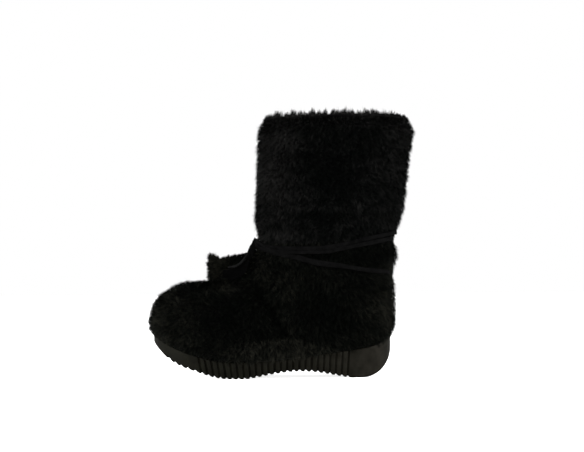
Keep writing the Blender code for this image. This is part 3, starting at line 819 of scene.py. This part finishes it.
def pelt_skin(nodes):
    """The hide under the pile, and how far each point is outside, from 0 to 1."""
    body = nodes["upper"].copy()
    body.data = nodes["upper"].data.copy()
    body.parent = None
    bpy.context.scene.collection.objects.link(body)
    weld = body.modifiers.new("weld", "WELD")
    weld.merge_threshold = WELD_DISTANCE * MM
    remesh = body.modifiers.new("even", "REMESH")
    remesh.mode = "VOXEL"
    remesh.voxel_size = PELT_VOXEL * MM
    bpy.context.view_layer.update()
    skin = skin_of(body)
    bpy.data.objects.remove(body, do_unlink=True)
    edges = skin_edges(skin)
    for _ in range(PELT_SMOOTHING):
        skin.points = blurred(skin.points, edges, 1, SMOOTH_IN)
        skin.points = blurred(skin.points, edges, 1, SMOOTH_OUT)
    skin.refresh()
    outside = outside_share(skin, nodes)
    outside = blurred(outside, edges, OUTSIDE_BLUR) * OUTSIDE_GAIN - OUTSIDE_SHIFT
    outside = np.clip(outside, 0, 1)
    z, level = skin.points[:, 2], level_share(skin.normals)
    rim = smooth_step(risen("rim", z)) * (1 - level)
    pressed = 1 - PRESS_RELIEF * thong_press(skin.points)
    sink = PILE * outside * pressed * (1 - RIM_RELIEF * rim)
    sink += fold_depth(skin.points) * outside
    sink += COLLAR_ROUND * risen("round", z) ** 2 * level * outside
    skin.points = skin.points - skin.normals * sink[:, None]
    skin.points = blurred(skin.points, edges, PELT_LAST_ROUNDS)
    skin.refresh()
    return skin, outside


def outside_share(skin, nodes):
    """1 at points where a ray straight out meets nothing, and 0 elsewhere."""
    trees = [skin.tree()] + [skin_of(nodes[n]).tree() for n in ("insole", "outsole")]
    free = np.ones(len(skin.points))
    for i, (place, normal) in enumerate(zip(skin.points, skin.normals)):
        start, way = Vector(place + normal * RAY_START), Vector(normal)
        for tree in trees:
            if tree.ray_cast(start, way, RAY_LENGTH)[0] is not None:
                free[i] = 0.0
                break
    return free


def pelt(skin, outside):
    """The pelt's mesh, with the lining on its inside."""
    looks = [hide_material(), lining_material()]
    made = mesh_object("pelt", skin.points, skin.triangles.tolist(), looks)
    inside = outside[skin.triangles].mean(axis=1) < 0.5
    made.data.polygons.foreach_set("material_index", inside.astype(np.int32))
    return made


# Pile


def comb_way(points, normals, spin):
    """The way the pile lies, turned by swirls and by spin in degrees."""
    x, y, z = points.T
    back = COMB.at("back", x) * (1 - COMB_ANKLE_LOSS * smooth_step(risen("comb", z)))
    way = np.stack([back, np.zeros(len(x)), -np.ones(len(x))], axis=1)
    swirl = (
        np.sin(x / 17.0 + 1.3 + 0.6 * np.sin(z / 23.0))
        + np.sin(z / 14.0 + y / 21.0 + 0.4)
        + np.sin((x + z) / 11.0 + y / 13.0 + 2.1)
    )
    spin = spin * (1 + CRISP_SPIN * crisp_share(points))
    return along_surface(way, normals, SWIRL_DEGREES * swirl / SWIRL_REACH + spin)


def crisp_share(points):
    """Where the pile is short and curls every way, from 0 to 1."""
    ahead = smooth_step((CRISP_FROM_X - points[:, 0]) / CRISP_FADE)
    foot = ahead * smooth_step((CRISP_BELOW_Z - points[:, 2]) / CRISP_EDGE)
    return foot + CRISP_SHAFT * smooth_step(risen("crisp", points[:, 2]))


def boot_growth(points):
    """Length of the pile and its lean in degrees."""
    x, _, z = points.T
    over_sole = smooth_step((z - SOLE.at("top", x)) / SOLE_PILE_HEIGHT)
    collar = smooth_step(risen("pile", z))
    press, crisp = thong_press(points), crisp_share(points)
    hanging = (1 - over_sole) * smooth_step((x - HANG_FROM_X) / HANG_FADE)
    uneven = HANG_UNEVEN * np.sin(x / 2.9 + 1.4 * np.sin(x / 7.3))
    length = SOLE_PILE_LENGTH + (1 - SOLE_PILE_LENGTH) * over_sole
    length = STRAND_LENGTH * (length + (HANG_LENGTH + uneven) * hanging)
    length = length * (1 - COLLAR_SHORTER * collar) * (1 - PRESS_SHORTER * press)
    lean = SOLE_PILE_LEAN + (1 - SOLE_PILE_LEAN) * over_sole + HANG_LEAN * hanging
    lean = LEAN_DEGREES * lean * (1 - COLLAR_STRAIGHTER * collar) + PRESS_LEAN * press
    return length * (1 - CRISP_SHORTER * crisp), lean * (1 - CRISP_STRAIGHTER * crisp)


def grown(points, normals, way, length, lean):
    """Mid and tip places of strands that bend over as they grow."""
    a = np.radians(lean)[:, None]
    b = np.radians(np.minimum(lean + CURL_DEGREES, MOST_LEAN))[:, None]
    half = length[:, None] / 2
    mid = points + half * (normals * np.cos(a) + way * np.sin(a))
    return mid, mid + half * (normals * np.cos(b) + way * np.sin(b))


def strands(skin, weight, count, growth, combing, rng):
    """Roots, mids, tips, normals and tones of strands drawn together in clumps."""
    clump_count = int(count / CLUMP_SIZE)
    centre, centre_normal = skin.scatter(clump_count, weight, rng)
    spin = rng.normal(0.0, CLUMP_SPIN, clump_count)
    extra = rng.normal(0.0, CLUMP_LEAN, clump_count)
    scale = rng.uniform(*CLUMP_LENGTH_RANGE, clump_count)
    tone = rng.random(clump_count)
    length, lean = growth(centre)
    way = combing(centre, centre_normal, spin)
    _, centre_tip = grown(centre, centre_normal, way, length * scale, lean + extra)
    tree = KDTree(clump_count)
    for i, place in enumerate(centre):
        tree.insert(place, i)
    tree.balance()
    root, normal = skin.scatter(count, weight, rng)
    nearest = np.fromiter((tree.find(p)[1] for p in root), dtype=np.int64, count=count)
    length, lean = growth(root)
    length = length * scale[nearest] * rng.uniform(*STRAND_LENGTH_RANGE, count)
    lean = lean + extra[nearest] + rng.normal(0.0, STRAND_LEAN, count)
    way = combing(root, normal, spin[nearest] + rng.normal(0.0, STRAND_SPIN, count))
    mid, tip = grown(root, normal, way, length, lean)
    pull = CLUMP_PULL * rng.uniform(*CLUMP_PULL_RANGE, count)[:, None]
    drawn = centre_tip[nearest] + CLUMP_SPREAD * (root - centre[nearest])
    mid = mid + CLUMP_MID_PULL * pull * (drawn - tip)
    tip = tip + pull * (drawn - tip)
    tone = 0.5 * tone[nearest] + 0.5 * rng.random(count)
    return root, mid, tip, normal, tone


def strand_object(name, parts, chosen, looks, rng, width=STRAND_WIDTH):
    """Blades of a quad and a tip each, joined as one mesh."""
    root, mid, tip, normal, tone = (part[chosen] for part in parts)
    count = len(root)
    side = unit(np.cross(tip - root, normal))
    turn = np.radians(rng.uniform(-STRAND_TWIST, STRAND_TWIST, count))[:, None]
    side = side * np.cos(turn) + normal * np.sin(turn)
    wide = side * width * rng.uniform(*STRAND_WIDTH_RANGE, count)[:, None] / 2
    mid_wide = wide * STRAND_MID_WIDTH
    points = np.stack([root - wide, root + wide, mid + mid_wide, mid - mid_wide, tip], axis=1)
    start = np.arange(count)[:, None] * 5
    corners = (start + np.array([0, 1, 2, 3, 3, 2, 4])).astype(np.int32).ravel()
    firsts = (np.arange(count)[:, None] * 7 + np.array([0, 4])).astype(np.int32).ravel()
    mesh = bpy.data.meshes.new(name)
    mesh.vertices.add(count * 5)
    mesh.vertices.foreach_set("co", (points * MM).ravel())
    mesh.loops.add(count * 7)
    mesh.loops.foreach_set("vertex_index", corners)
    mesh.polygons.add(count * 2)
    mesh.polygons.foreach_set("loop_start", firsts)
    index = np.clip((tone * len(looks)).astype(np.int32), 0, len(looks) - 1)
    for look in looks:
        mesh.materials.append(look)
    mesh.polygons.foreach_set("material_index", np.repeat(index, 2))
    mesh.update(calc_edges=True)
    mesh.shade_smooth()
    return linked(name, mesh)


def band_share(points):
    """How far a point is in the paler band over the sole, from 0 to 1."""
    x = points[:, 0]
    over = points[:, 2] - SOLE.at("top", x)
    inside = (x > BAND.where[0]) & (x < BAND.where[-1])
    ahead = BAND_AHEAD + (1 - BAND_AHEAD) * smooth_step((x - BAND_FADE_X) / BAND_FADE)
    return inside * ahead * smooth_step((BAND.at("height", x) + BAND_OVER - over) / BAND_EDGE)


def pile_weight(skin, outside):
    """How thickly the pile grows at each point of the pelt."""
    x, y, z = skin.points.T
    rim = smooth_step(risen("roots", z))
    foot = 1 - smooth_step((z - SOLE.at("top", x) - ROOTS_SOLE_HEIGHT) / ROOTS_SOLE_FADE)
    need = ROOTS_NEED - ROOTS_AT_RIM * rim - ROOTS_AT_SOLE * foot
    density = (outside > need) * np.where(y < 0, OUTER_DENSITY, INNER_DENSITY)
    return density * (1 + COLLAR_DENSITY * smooth_step(risen("density", z)))


def collar_lift(root, normal):
    """How far the strands at the collar stand up in tufts."""
    x, y, z = root.T
    broad = np.sin(x / 3.1 + 0.8 * np.sin(y / 6.0)) * np.sin(y / 4.3 + x / 9.0)
    fine = np.sin(x / 1.5 + 1.7 * np.sin(x / 6.7) + 0.6 * np.sin(y / 12.0))
    lift = COLLAR.at("lift", x) * (LIFT_MEAN + BROAD_TUFTS * broad + FINE_TUFTS * fine)
    lift = lift * (COLLAR_TOP_SHARE + (1 - COLLAR_TOP_SHARE) * level_share(normal))
    return lift * smooth_step(risen("rim", z))


def boot_pile(skin, outside):
    """The boot's pile in pieces by place."""
    rng = np.random.default_rng(7)
    weight = pile_weight(skin, outside)
    root, mid, tip, normal, tone = strands(skin, weight, STRANDS, boot_growth, comb_way, rng)
    lift = collar_lift(root, normal)
    mid[:, 2] += MID_LIFT * lift
    tip[:, 2] += lift
    parts = (root, mid, tip, normal, np.clip(tone_over_boot(root, tone), 0.0, PALEST))
    x, y, z = root.T
    outer, shaft = y < 0, (z > SHAFT_FROM_Z) & (z <= COLLAR_FROM_Z)
    vamp = (z <= SHAFT_FROM_Z) & (x < np.interp(z, SEAM_Z, SEAM_X))
    quarter = (z <= SHAFT_FROM_Z) & ~vamp
    places = {"fur_collar": z > COLLAR_FROM_Z}
    for name, chosen in (("fur_shaft", shaft), ("fur_vamp", vamp), ("fur_quarter", quarter)):
        places[name + "_outer"] = chosen & outer
        places[name + "_inner"] = chosen & ~outer
    shaft_looks, foot_looks = pile_materials(SHAFT_TONES), pile_materials(FOOT_TONES)
    made = []
    for name, chosen in places.items():
        looks = shaft_looks if name.startswith(("fur_collar", "fur_shaft")) else foot_looks
        made.append(strand_object(name, parts, chosen, looks, rng))
    return made, foot_looks


def tone_over_boot(root, tone):
    """Tones pushed paler or deeper by place, with painted light and shade at spots and painted
    shade in the folds.
    """
    x, y, z = root.T
    patches = np.sin(x / 15.0 + z / 27.0 + 0.7) * np.sin(z / 12.0 - x / 30.0 + y / 19.0)
    small = np.sin(x / 7.0 - z / 9.0 + y / 11.0) * np.sin(z / 6.0 + x / 13.0 + 1.9)
    change = PATCH_TONE * (patches + SMALL_PATCHES * small)
    change += BAND_TONE * band_share(root) + BASE_TONE
    # Painted light and shade at spots over the boot
    for spot_x, spot_z, wide, high, amount in LIGHT_AND_SHADE_SPOTS:
        off = ((x - spot_x) / wide) ** 2 + ((z - spot_z) / high) ** 2
        change += amount * np.exp(-off)
    # Painted shade darkens the pile in the seam and folds
    return tone * TONE_SPREAD + TONE_START + change - FOLD_SHADE_TONE * fold_depth(root)


# Outsole


def sole_bottom(x):
    """Height of the sole's underside, without its teeth."""
    ahead = np.clip(BALL_X - x, 0.0, TOE_ROCKER_RADIUS)
    rocker = TOE_ROCKER_RADIUS - np.sqrt(TOE_ROCKER_RADIUS**2 - ahead**2)
    rocker = rocker - NOSE_DROP * smooth_step((ahead - NOSE_DROP_START) / NOSE_DROP_LENGTH)
    along = np.clip((x - ARCH_START_X) / (ARCH_END_X - ARCH_START_X), 0.0, 1.0)
    arch = ARCH_RISE * np.sin(math.pi * along) ** ARCH_POWER
    behind = np.clip(x - HEEL_ROUND_X, 0.0, HEEL_ROUND_RADIUS)
    heel = HEEL_ROUND_RADIUS - np.sqrt(HEEL_ROUND_RADIUS**2 - behind**2)
    return rocker + arch + heel


def rib_profile(x):
    """How far the wall's ribs and the grooves between them stand out at x."""
    phase = ((x - TOOTH_FIRST_X) / RIB_PITCH) % 1.0
    off = (phase - GROOVE_PLACE + 0.5) % 1.0 - 0.5
    groove = GROOVE_DEPTH * np.exp(-((off / GROOVE_HALF_WIDTH) ** GROOVE_POWER))
    bulge = RIB_BULGE * (1 - np.abs(2 * np.abs(off) - 1) ** RIB_POWER)
    ribbed = (x > RIB_FIRST_X) & (x < RIB_LAST_X + RIB_PITCH * 0.5)
    return (bulge - RIB_BULGE - groove) * ribbed


def tooth_profile(x):
    """How far the underside is cut up between the teeth at x."""
    phase = ((x - TOOTH_FIRST_X) / RIB_PITCH) % 1.0
    toothed = (x > TOOTH_FIRST_X) & (x < RIB_LAST_X + RIB_PITCH)
    up = smooth_step(phase / TOOTH_RISEN) * (1 - smooth_step((phase - TOOTH_FALLS) / TOOTH_FALL))
    return TOOTH_RISE * up * toothed


def rib_lean(x):
    """How far a rib leans along the sole for each part below the top."""
    starts = smooth_step((x - RIB_FIRST_X + LEAN_AHEAD) / LEAN_FADE)
    lean = RIB_LEAN.at("lean", x) * starts * smooth_step((LEAN_END_X - x) / LEAN_FADE)
    return lean * LEAN_SHARE


def sole_half(x, side):
    """Half a section, from the middle of the top round the wall to the middle below."""
    top, bottom = SOLE.at("top", x), sole_bottom(x) + tooth_profile(x)
    lateral, medial = SOLE.at("lateral", x), SOLE.at("medial", x)
    middle, reach = (medial - lateral) / 2, (medial + lateral) / 2
    draft = min(WALL_DRAFT * (top - bottom), MOST_DRAFT * reach)
    edge = min(SOLE_EDGE, MOST_EDGE * reach)
    rows = [(0.0, top), (max(reach - TOP_RIM, reach * TOP_RIM_SHARE), top)]
    small = TOP_EDGE_SHARE * edge
    for a in np.radians((90, 45, 0)):
        rows.append((reach - small + small * math.cos(a), top - small + small * math.sin(a)))
    for t in np.linspace(*WALL_SHARES, WALL_ROWS):
        rows.append((reach - draft * t, top + (bottom - top) * t))
    foot = reach - draft
    for a in np.radians((0, 30, 60, 90)):
        rows.append((foot - edge + edge * math.cos(a), bottom + edge - edge * math.sin(a)))
    rows += [(foot * BOTTOM_RIM_SHARE, bottom), (0.0, bottom)]
    ribs = rib_profile(x) * min(1.0, reach / RIB_FULL_REACH)
    lean = rib_lean(x)
    ring = []
    for k, (w, z) in enumerate(rows):
        ribbed = FIRST_RIBBED_ROW <= k <= LAST_RIBBED_ROW
        ring.append((x + lean * (top - z), middle + side * (w + (ribs if ribbed else 0.0)), z))
    return ring


def outsole_rubber():
    """The outsole, with close stations at its nose and heel."""
    quarter_turn = math.pi / 2
    nose = SOLE_TOE_X + NOSE_LENGTH * (1 - np.cos(np.linspace(0.0, quarter_turn, NOSE_STATIONS)))
    heel_start = RIB_LAST_X + RIB_PITCH * HEEL_AFTER_RIB
    heel = np.sin(np.linspace(0.0, quarter_turn, HEEL_STATIONS))
    heel = heel_start + (SOLE_HEEL_X - heel_start) * heel
    body = np.arange(nose[-1] + SOLE_STEP, heel_start - SOLE_STEP / 2, SOLE_STEP)
    rings = []
    for x in np.concatenate([nose, body, heel]):
        outer, inner = sole_half(x, -1), sole_half(x, 1)
        rings.append(np.array(outer + inner[1:-1][::-1]))
    points, faces = ring_loft(rings)
    return mesh_object("outsole_rubber", points, faces, [rubber_material()])


# Thongs, knot and tabs


def thong_route(name, tree):
    """Centre line and outward way of one turn, found on the solid thong."""
    low, high = thong_box()
    centre = (low + high) / 2
    stretch = (high[0] - low[0]) / (high[1] - low[1])
    angles = even_turns(THONG_STATIONS)
    degrees = np.degrees(angles)
    turn = np.minimum(degrees, 360 - degrees)
    z = WRAP.at(name, turn)
    way = unit(np.column_stack([-np.cos(angles) * stretch, -np.sin(angles), 0 * angles]))
    reach = np.full(len(angles), np.nan)
    for i in range(len(angles)):
        start = np.array([centre[0], 0.0, z[i]]) + way[i] * PROBE_OUT
        hit = tree.ray_cast(Vector(start), Vector(-way[i]), PROBE_LENGTH)
        if hit[0] is not None:
            reach[i] = PROBE_OUT - hit[3] - THONG_RADIUS
    known = ~np.isnan(reach)
    reach = np.interp(degrees, degrees[known], reach[known], period=360.0)
    for _ in range(ROUTE_ROUNDS):
        reach = (np.roll(reach, 1) + 2 * reach + np.roll(reach, -1)) / 4
    reach = reach + THONG_FRONT_RISE * np.exp(-((turn / THONG_FRONT_SPAN) ** 2))
    reach = reach - COVER_DEPTH * thong_cover(name, turn)
    route = np.column_stack([centre[0] + way[:, 0] * reach, way[:, 1] * reach, z])
    return route, way


def flat_section(centre, across, out, width, thickness, relief=0.0):
    """A ring of points round a flat strip, with relief added to its faces."""
    turn = even_turns(THONG_SIDES)
    depth = thickness / 2 * flattened(turn, STRIP_POWER) + relief
    return centre + across * (width / 2 * np.cos(turn))[:, None] + out * depth[:, None]


def flattened(turn, power):
    """The sine of a turn brought nearer to 1, which flattens a section."""
    return np.sign(np.sin(turn)) * np.abs(np.sin(turn)) ** power


def thongs(nodes):
    """Flat suede strips with ridges along them, joined as one mesh."""
    rng = np.random.default_rng(3)
    tree = skin_of(nodes["lace_wraps"]).tree()
    place = even_turns(THONG_STATIONS)
    ahead = smooth_step(0.5 + np.cos(place) / 1.2)
    points, faces, start = [], [], 0
    for name in WRAP_COLUMNS[1:]:
        route, way = thong_route(name, tree)
        along = unit(np.roll(route, -1, axis=0) - np.roll(route, 1, axis=0))
        up = unit(np.cross(along, way))
        ridges = rng.uniform(-RIDGE, RIDGE, THONG_SIDES)
        wider = LOW_THONG_WIDER if name == "low" else 0.0
        rings = []
        for i in range(THONG_STATIONS):
            roll = math.radians(waves(place[i], ROLL_WAVES))
            wide = THONG_WIDTH * (1 + waves(place[i], WIDTH_WAVES)) * (1 + wider * ahead[i])
            across = up[i] * math.cos(roll) + way[i] * math.sin(roll)
            out = way[i] * math.cos(roll) - up[i] * math.sin(roll)
            relief = ridges * (RIDGE_MEAN + waves(place[i], RIDGE_WAVES))
            rings.append(flat_section(route[i], across, out, wide, THONG_THICKNESS, relief))
        ring_points, ring_faces = ring_loft(rings, cyclic=True)
        points.append(ring_points)
        faces += [tuple(i + start for i in face) for face in ring_faces]
        start += len(ring_points)
    look = suede_material("thong_suede", dark=0.0004, light=0.0018)
    return mesh_object("thongs", np.concatenate(points), faces, [look])


def knot_strap():
    """Points and faces of the wide strap over the knot."""
    spans = len(STRAP.where) - 1
    places = np.linspace(0, spans, spans * STRAP_STEPS + 1)
    route = np.column_stack([STRAP.at(name, places) for name in ("x", "y", "z")])
    along = unit(np.gradient(route, axis=0))
    across = unit(np.cross(along, STRAP_FACING))
    out = np.cross(across, along)
    rings = []
    for i, place in enumerate(places):
        width = STRAP.at("width", place) * (1 + waves(place, STRAP_WAVES))
        rings.append(flat_section(route[i], across[i], out[i], width, STRAP_THICKNESS))
    return ring_loft(rings)


def knot_coil():
    """Points and faces of a flat strip tied in a threefold knot."""
    turns = even_turns(COIL_STATIONS)
    reach = 2 + np.cos(3 * turns)
    flat = [reach * np.cos(2 * turns), reach * np.sin(2 * turns), np.sin(3 * turns)]
    lean = math.radians(-COIL_LEAN_DEGREES)
    cos, sin = math.cos(lean), math.sin(lean)
    tip = np.array([[cos, 0, sin], [0, 1, 0], [-sin, 0, cos]])
    offsets = np.column_stack(flat) * COIL_SCALE @ tip.T
    along = unit(np.roll(offsets, -1, axis=0) - np.roll(offsets, 1, axis=0))
    across = unit(np.cross(along, unit(np.array([sin, 0.0, cos]))))
    out = np.cross(across, along)
    route = offsets + COIL_CENTRE
    stations = zip(route, across, out)
    rings = [flat_section(*station, COIL_WIDTH, COIL_THICKNESS) for station in stations]
    return ring_loft(rings, cyclic=True)


def knot(look):
    """The thong's knot with its strap, joined as one mesh."""
    points, faces = knot_strap()
    coil_points, coil_faces = knot_coil()
    faces = faces + [tuple(i + len(points) for i in face) for face in coil_faces]
    points = np.concatenate([points, coil_points])
    return mesh_object("thong_knot", points, faces, [look])


def smooth_route(points, count):
    """Points spaced evenly on a smooth curve through given ones."""
    points = np.asarray(points, dtype=float)
    along = np.concatenate([[0], np.cumsum(np.linalg.norm(np.diff(points, axis=0), axis=1))])
    table = Table(("along", "x", "y", "z"), np.column_stack([along, points]))
    places = np.linspace(0, along[-1], count)
    return np.column_stack([table.at(name, places) for name in ("x", "y", "z")])


def end_cord(name, hand_points, look):
    """A free end as an open spline, its first point and its length in metres."""
    route = smooth_route(hand_points, END_POINTS)
    data = bpy.data.curves.new(name, "CURVE")
    data.dimensions = "3D"
    data.bevel_depth = END_DIAMETER / 2 * MM
    data.bevel_resolution = 3
    data.use_fill_caps = True
    spline = data.splines.new("POLY")
    spline.points.add(len(route) - 1)
    for point, place in zip(spline.points, route):
        point.co = (*(place * MM), 1.0)
    data.materials.append(look)
    length = np.linalg.norm(np.diff(route, axis=0), axis=1).sum() * MM
    return linked(name, data), tuple(route[0] * MM), float(length)


def tab_rings(rows, lean, sides, steps, thinner=0.0, inset=0.0, power=1.0):
    """Rings of a tab that leans out by a share of its height."""
    table = Table(TAB_COLUMNS, rows)
    angles = even_turns(sides)
    rings = []
    for place in np.linspace(0, len(rows) - 1, (len(rows) - 1) * steps + 1):
        x, y, top, bottom, thick = (table.at(c, place) for c in TAB_COLUMNS[1:])
        up = np.cos(angles) * max((top - bottom) / 2 - inset, LEAST_TAB_HEIGHT)
        side = flattened(angles, power) * max(thick - thinner, LEAST_TAB_THICKNESS) / 2
        ring = [(x, y + lean * u + s, (top + bottom) / 2 + u) for u, s in zip(up, side)]
        rings.append(np.array(ring))
    return rings


def fur_tab(looks):
    """The tab with its pile outside: a thin hide and its strands."""
    rings = tab_rings(FUR_TAB_ROWS, 0.0, 24, 8, thinner=FUR_TAB_THINNER, inset=FUR_TAB_INSET)
    points, faces = ring_loft(rings)
    hide = mesh_object("tab_fur_hide", points, faces, [hide_material()])
    bpy.context.view_layer.update()
    skin = skin_of(hide)
    rng = np.random.default_rng(11)

    def growth(places):
        return np.full(len(places), TAB_PILE), np.full(len(places), TAB_LEAN)

    def combing(places, normals, spin):
        return along_surface(unit(places - FUR_TAB_HEART), normals, spin)

    weight = np.ones(len(skin.points))
    root, mid, tip, normal, tone = strands(skin, weight, TAB_STRANDS, growth, combing, rng)
    shade = TAB_SHADE * smooth_step((root[:, 0] - TAB_SHADE_FROM_X) / TAB_SHADE_LENGTH)
    tone = np.clip(tone * TAB_TONE_SPREAD + TAB_TONE_START - shade, 0, PALEST)
    parts = (root, mid, tip, normal, tone)
    pile = strand_object("tab_fur_pile", parts, slice(None), looks, rng, TAB_STRAND_WIDTH)
    return hide, pile


def suede_tab():
    """The thin tab with its skin side outside and a cut edge, coloured paler as a painted
    highlight.
    """
    rings = tab_rings(SUEDE_TAB_ROWS, SUEDE_TAB_LEAN, 28, 10, power=SUEDE_TAB_POWER)
    points, faces = ring_loft(rings)
    look = suede_material("tab_suede_face", dark=0.0003, light=0.0007, specular=0.002)
    # The cut edge's pale colour is a painted highlight
    edge = plain_material("cut_edge_highlight", (0.0060, 0.0060, 0.0056), roughness=0.8, specular=0.02)
    leaf = mesh_object("tab_suede_leaf", points, faces, [look, edge])
    sides, rims = len(rings[0]), len(rings) - 1
    for r in range(rims // CUT_EDGE_PART, rims):
        for c in (0, sides - 1):
            leaf.data.polygons[r * sides + c].material_index = 1
    return leaf


# Stage


def floor():
    size = FLOOR_REACH
    corners = [(-size, -size, 0), (size, -size, 0), (size, size, 0), (-size, size, 0)]
    mesh = bpy.data.meshes.new("floor")
    mesh.from_pydata(corners, [], [(0, 1, 2, 3)])
    look = plain_material("pale_floor", (0.9,) * 3, roughness=0.9, specular=0.1)
    glow = {"Emission Color": (1, 1, 1, 1), "Emission Strength": FLOOR_GLOW}
    set_inputs(shader_of(look), glow)
    mesh.materials.append(look)
    linked("floor", mesh)


def area_light(name, place, aim, size, power):
    data = bpy.data.lights.new(name, "AREA")
    data.shape = "DISK"
    data.size = size
    data.energy = power
    obj = linked(name, data)
    obj.location = place
    obj.rotation_euler = (Vector(aim) - Vector(place)).to_track_quat("-Z", "Y").to_euler()


def light_and_world():
    world = bpy.data.worlds.new("studio")
    world.use_nodes = True
    air = {"Color": (1, 1, 1, 1), "Strength": 1.0}
    set_inputs(world.node_tree.nodes["Background"], air)
    bpy.context.scene.world = world
    for row in LIGHTS:
        area_light(*row)
    bpy.context.scene.view_settings.view_transform = "Standard"


def camera():
    data = bpy.data.cameras.new("camera")
    data.lens = CAMERA_LENS
    data.sensor_width = 36.0
    data.clip_start = 0.05
    obj = linked("camera", data)
    aim = Vector(CAMERA_AIM)
    obj.location = Vector((aim.x, aim.y - CAMERA_DISTANCE, CAMERA_HEIGHT))
    obj.rotation_euler = (aim - obj.location).to_track_quat("-Z", "Y").to_euler()
    obj.rotation_euler.rotate_axis("Z", math.radians(CAMERA_ROLL))
    bpy.context.scene.camera = obj


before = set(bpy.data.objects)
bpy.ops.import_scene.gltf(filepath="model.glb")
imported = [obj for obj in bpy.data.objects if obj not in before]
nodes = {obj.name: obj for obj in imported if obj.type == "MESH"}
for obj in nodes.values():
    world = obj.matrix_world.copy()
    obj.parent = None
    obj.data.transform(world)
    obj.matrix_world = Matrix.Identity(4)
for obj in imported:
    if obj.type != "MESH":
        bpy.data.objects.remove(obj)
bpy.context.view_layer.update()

skin, outside = pelt_skin(nodes)
hide = pelt(skin, outside)
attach(hide, "root")
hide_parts("upper")
pile, pile_looks = boot_pile(skin, outside)
for piece in pile:
    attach(piece, "root")

sole = outsole_rubber()
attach(sole, "root")
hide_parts("outsole")
footbed_looks = nodes["insole"].data.materials
footbed_looks.clear()
footbed_looks.append(felt_material())

strips = thongs(nodes)
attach(strips, "root")
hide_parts("lace_wraps")
knot_look = suede_material("knot_suede", dark=0.0003, light=0.0007)
# The free ends are coloured paler than the other suede: a painted highlight for the bright line
# along their lit edge
end_highlight_look = suede_material("end_suede", dark=0.0022, light=0.0048)
tied = knot(knot_look)
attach(tied, "root")
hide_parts("lace_knot")

tab_hide, tab_pile = fur_tab(pile_looks)
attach(tab_hide, "root")
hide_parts("tab_fur")
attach(tab_pile, "root")
leaf = suede_tab()
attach(leaf, "root")
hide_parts("tab_suede")

ends = (
    ("thong_end_fur", FUR_END_ROUTE, "lace_end_fur", (tab_hide, tab_pile)),
    ("thong_end_suede", SUEDE_END_ROUTE, "lace_end_suede", (leaf,)),
)
for name, route, node, on_it in ends:
    cord, exit_place, length = end_cord(name, route, end_highlight_look)
    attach(cord, "root")
    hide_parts(node)

floor()
light_and_world()
camera()
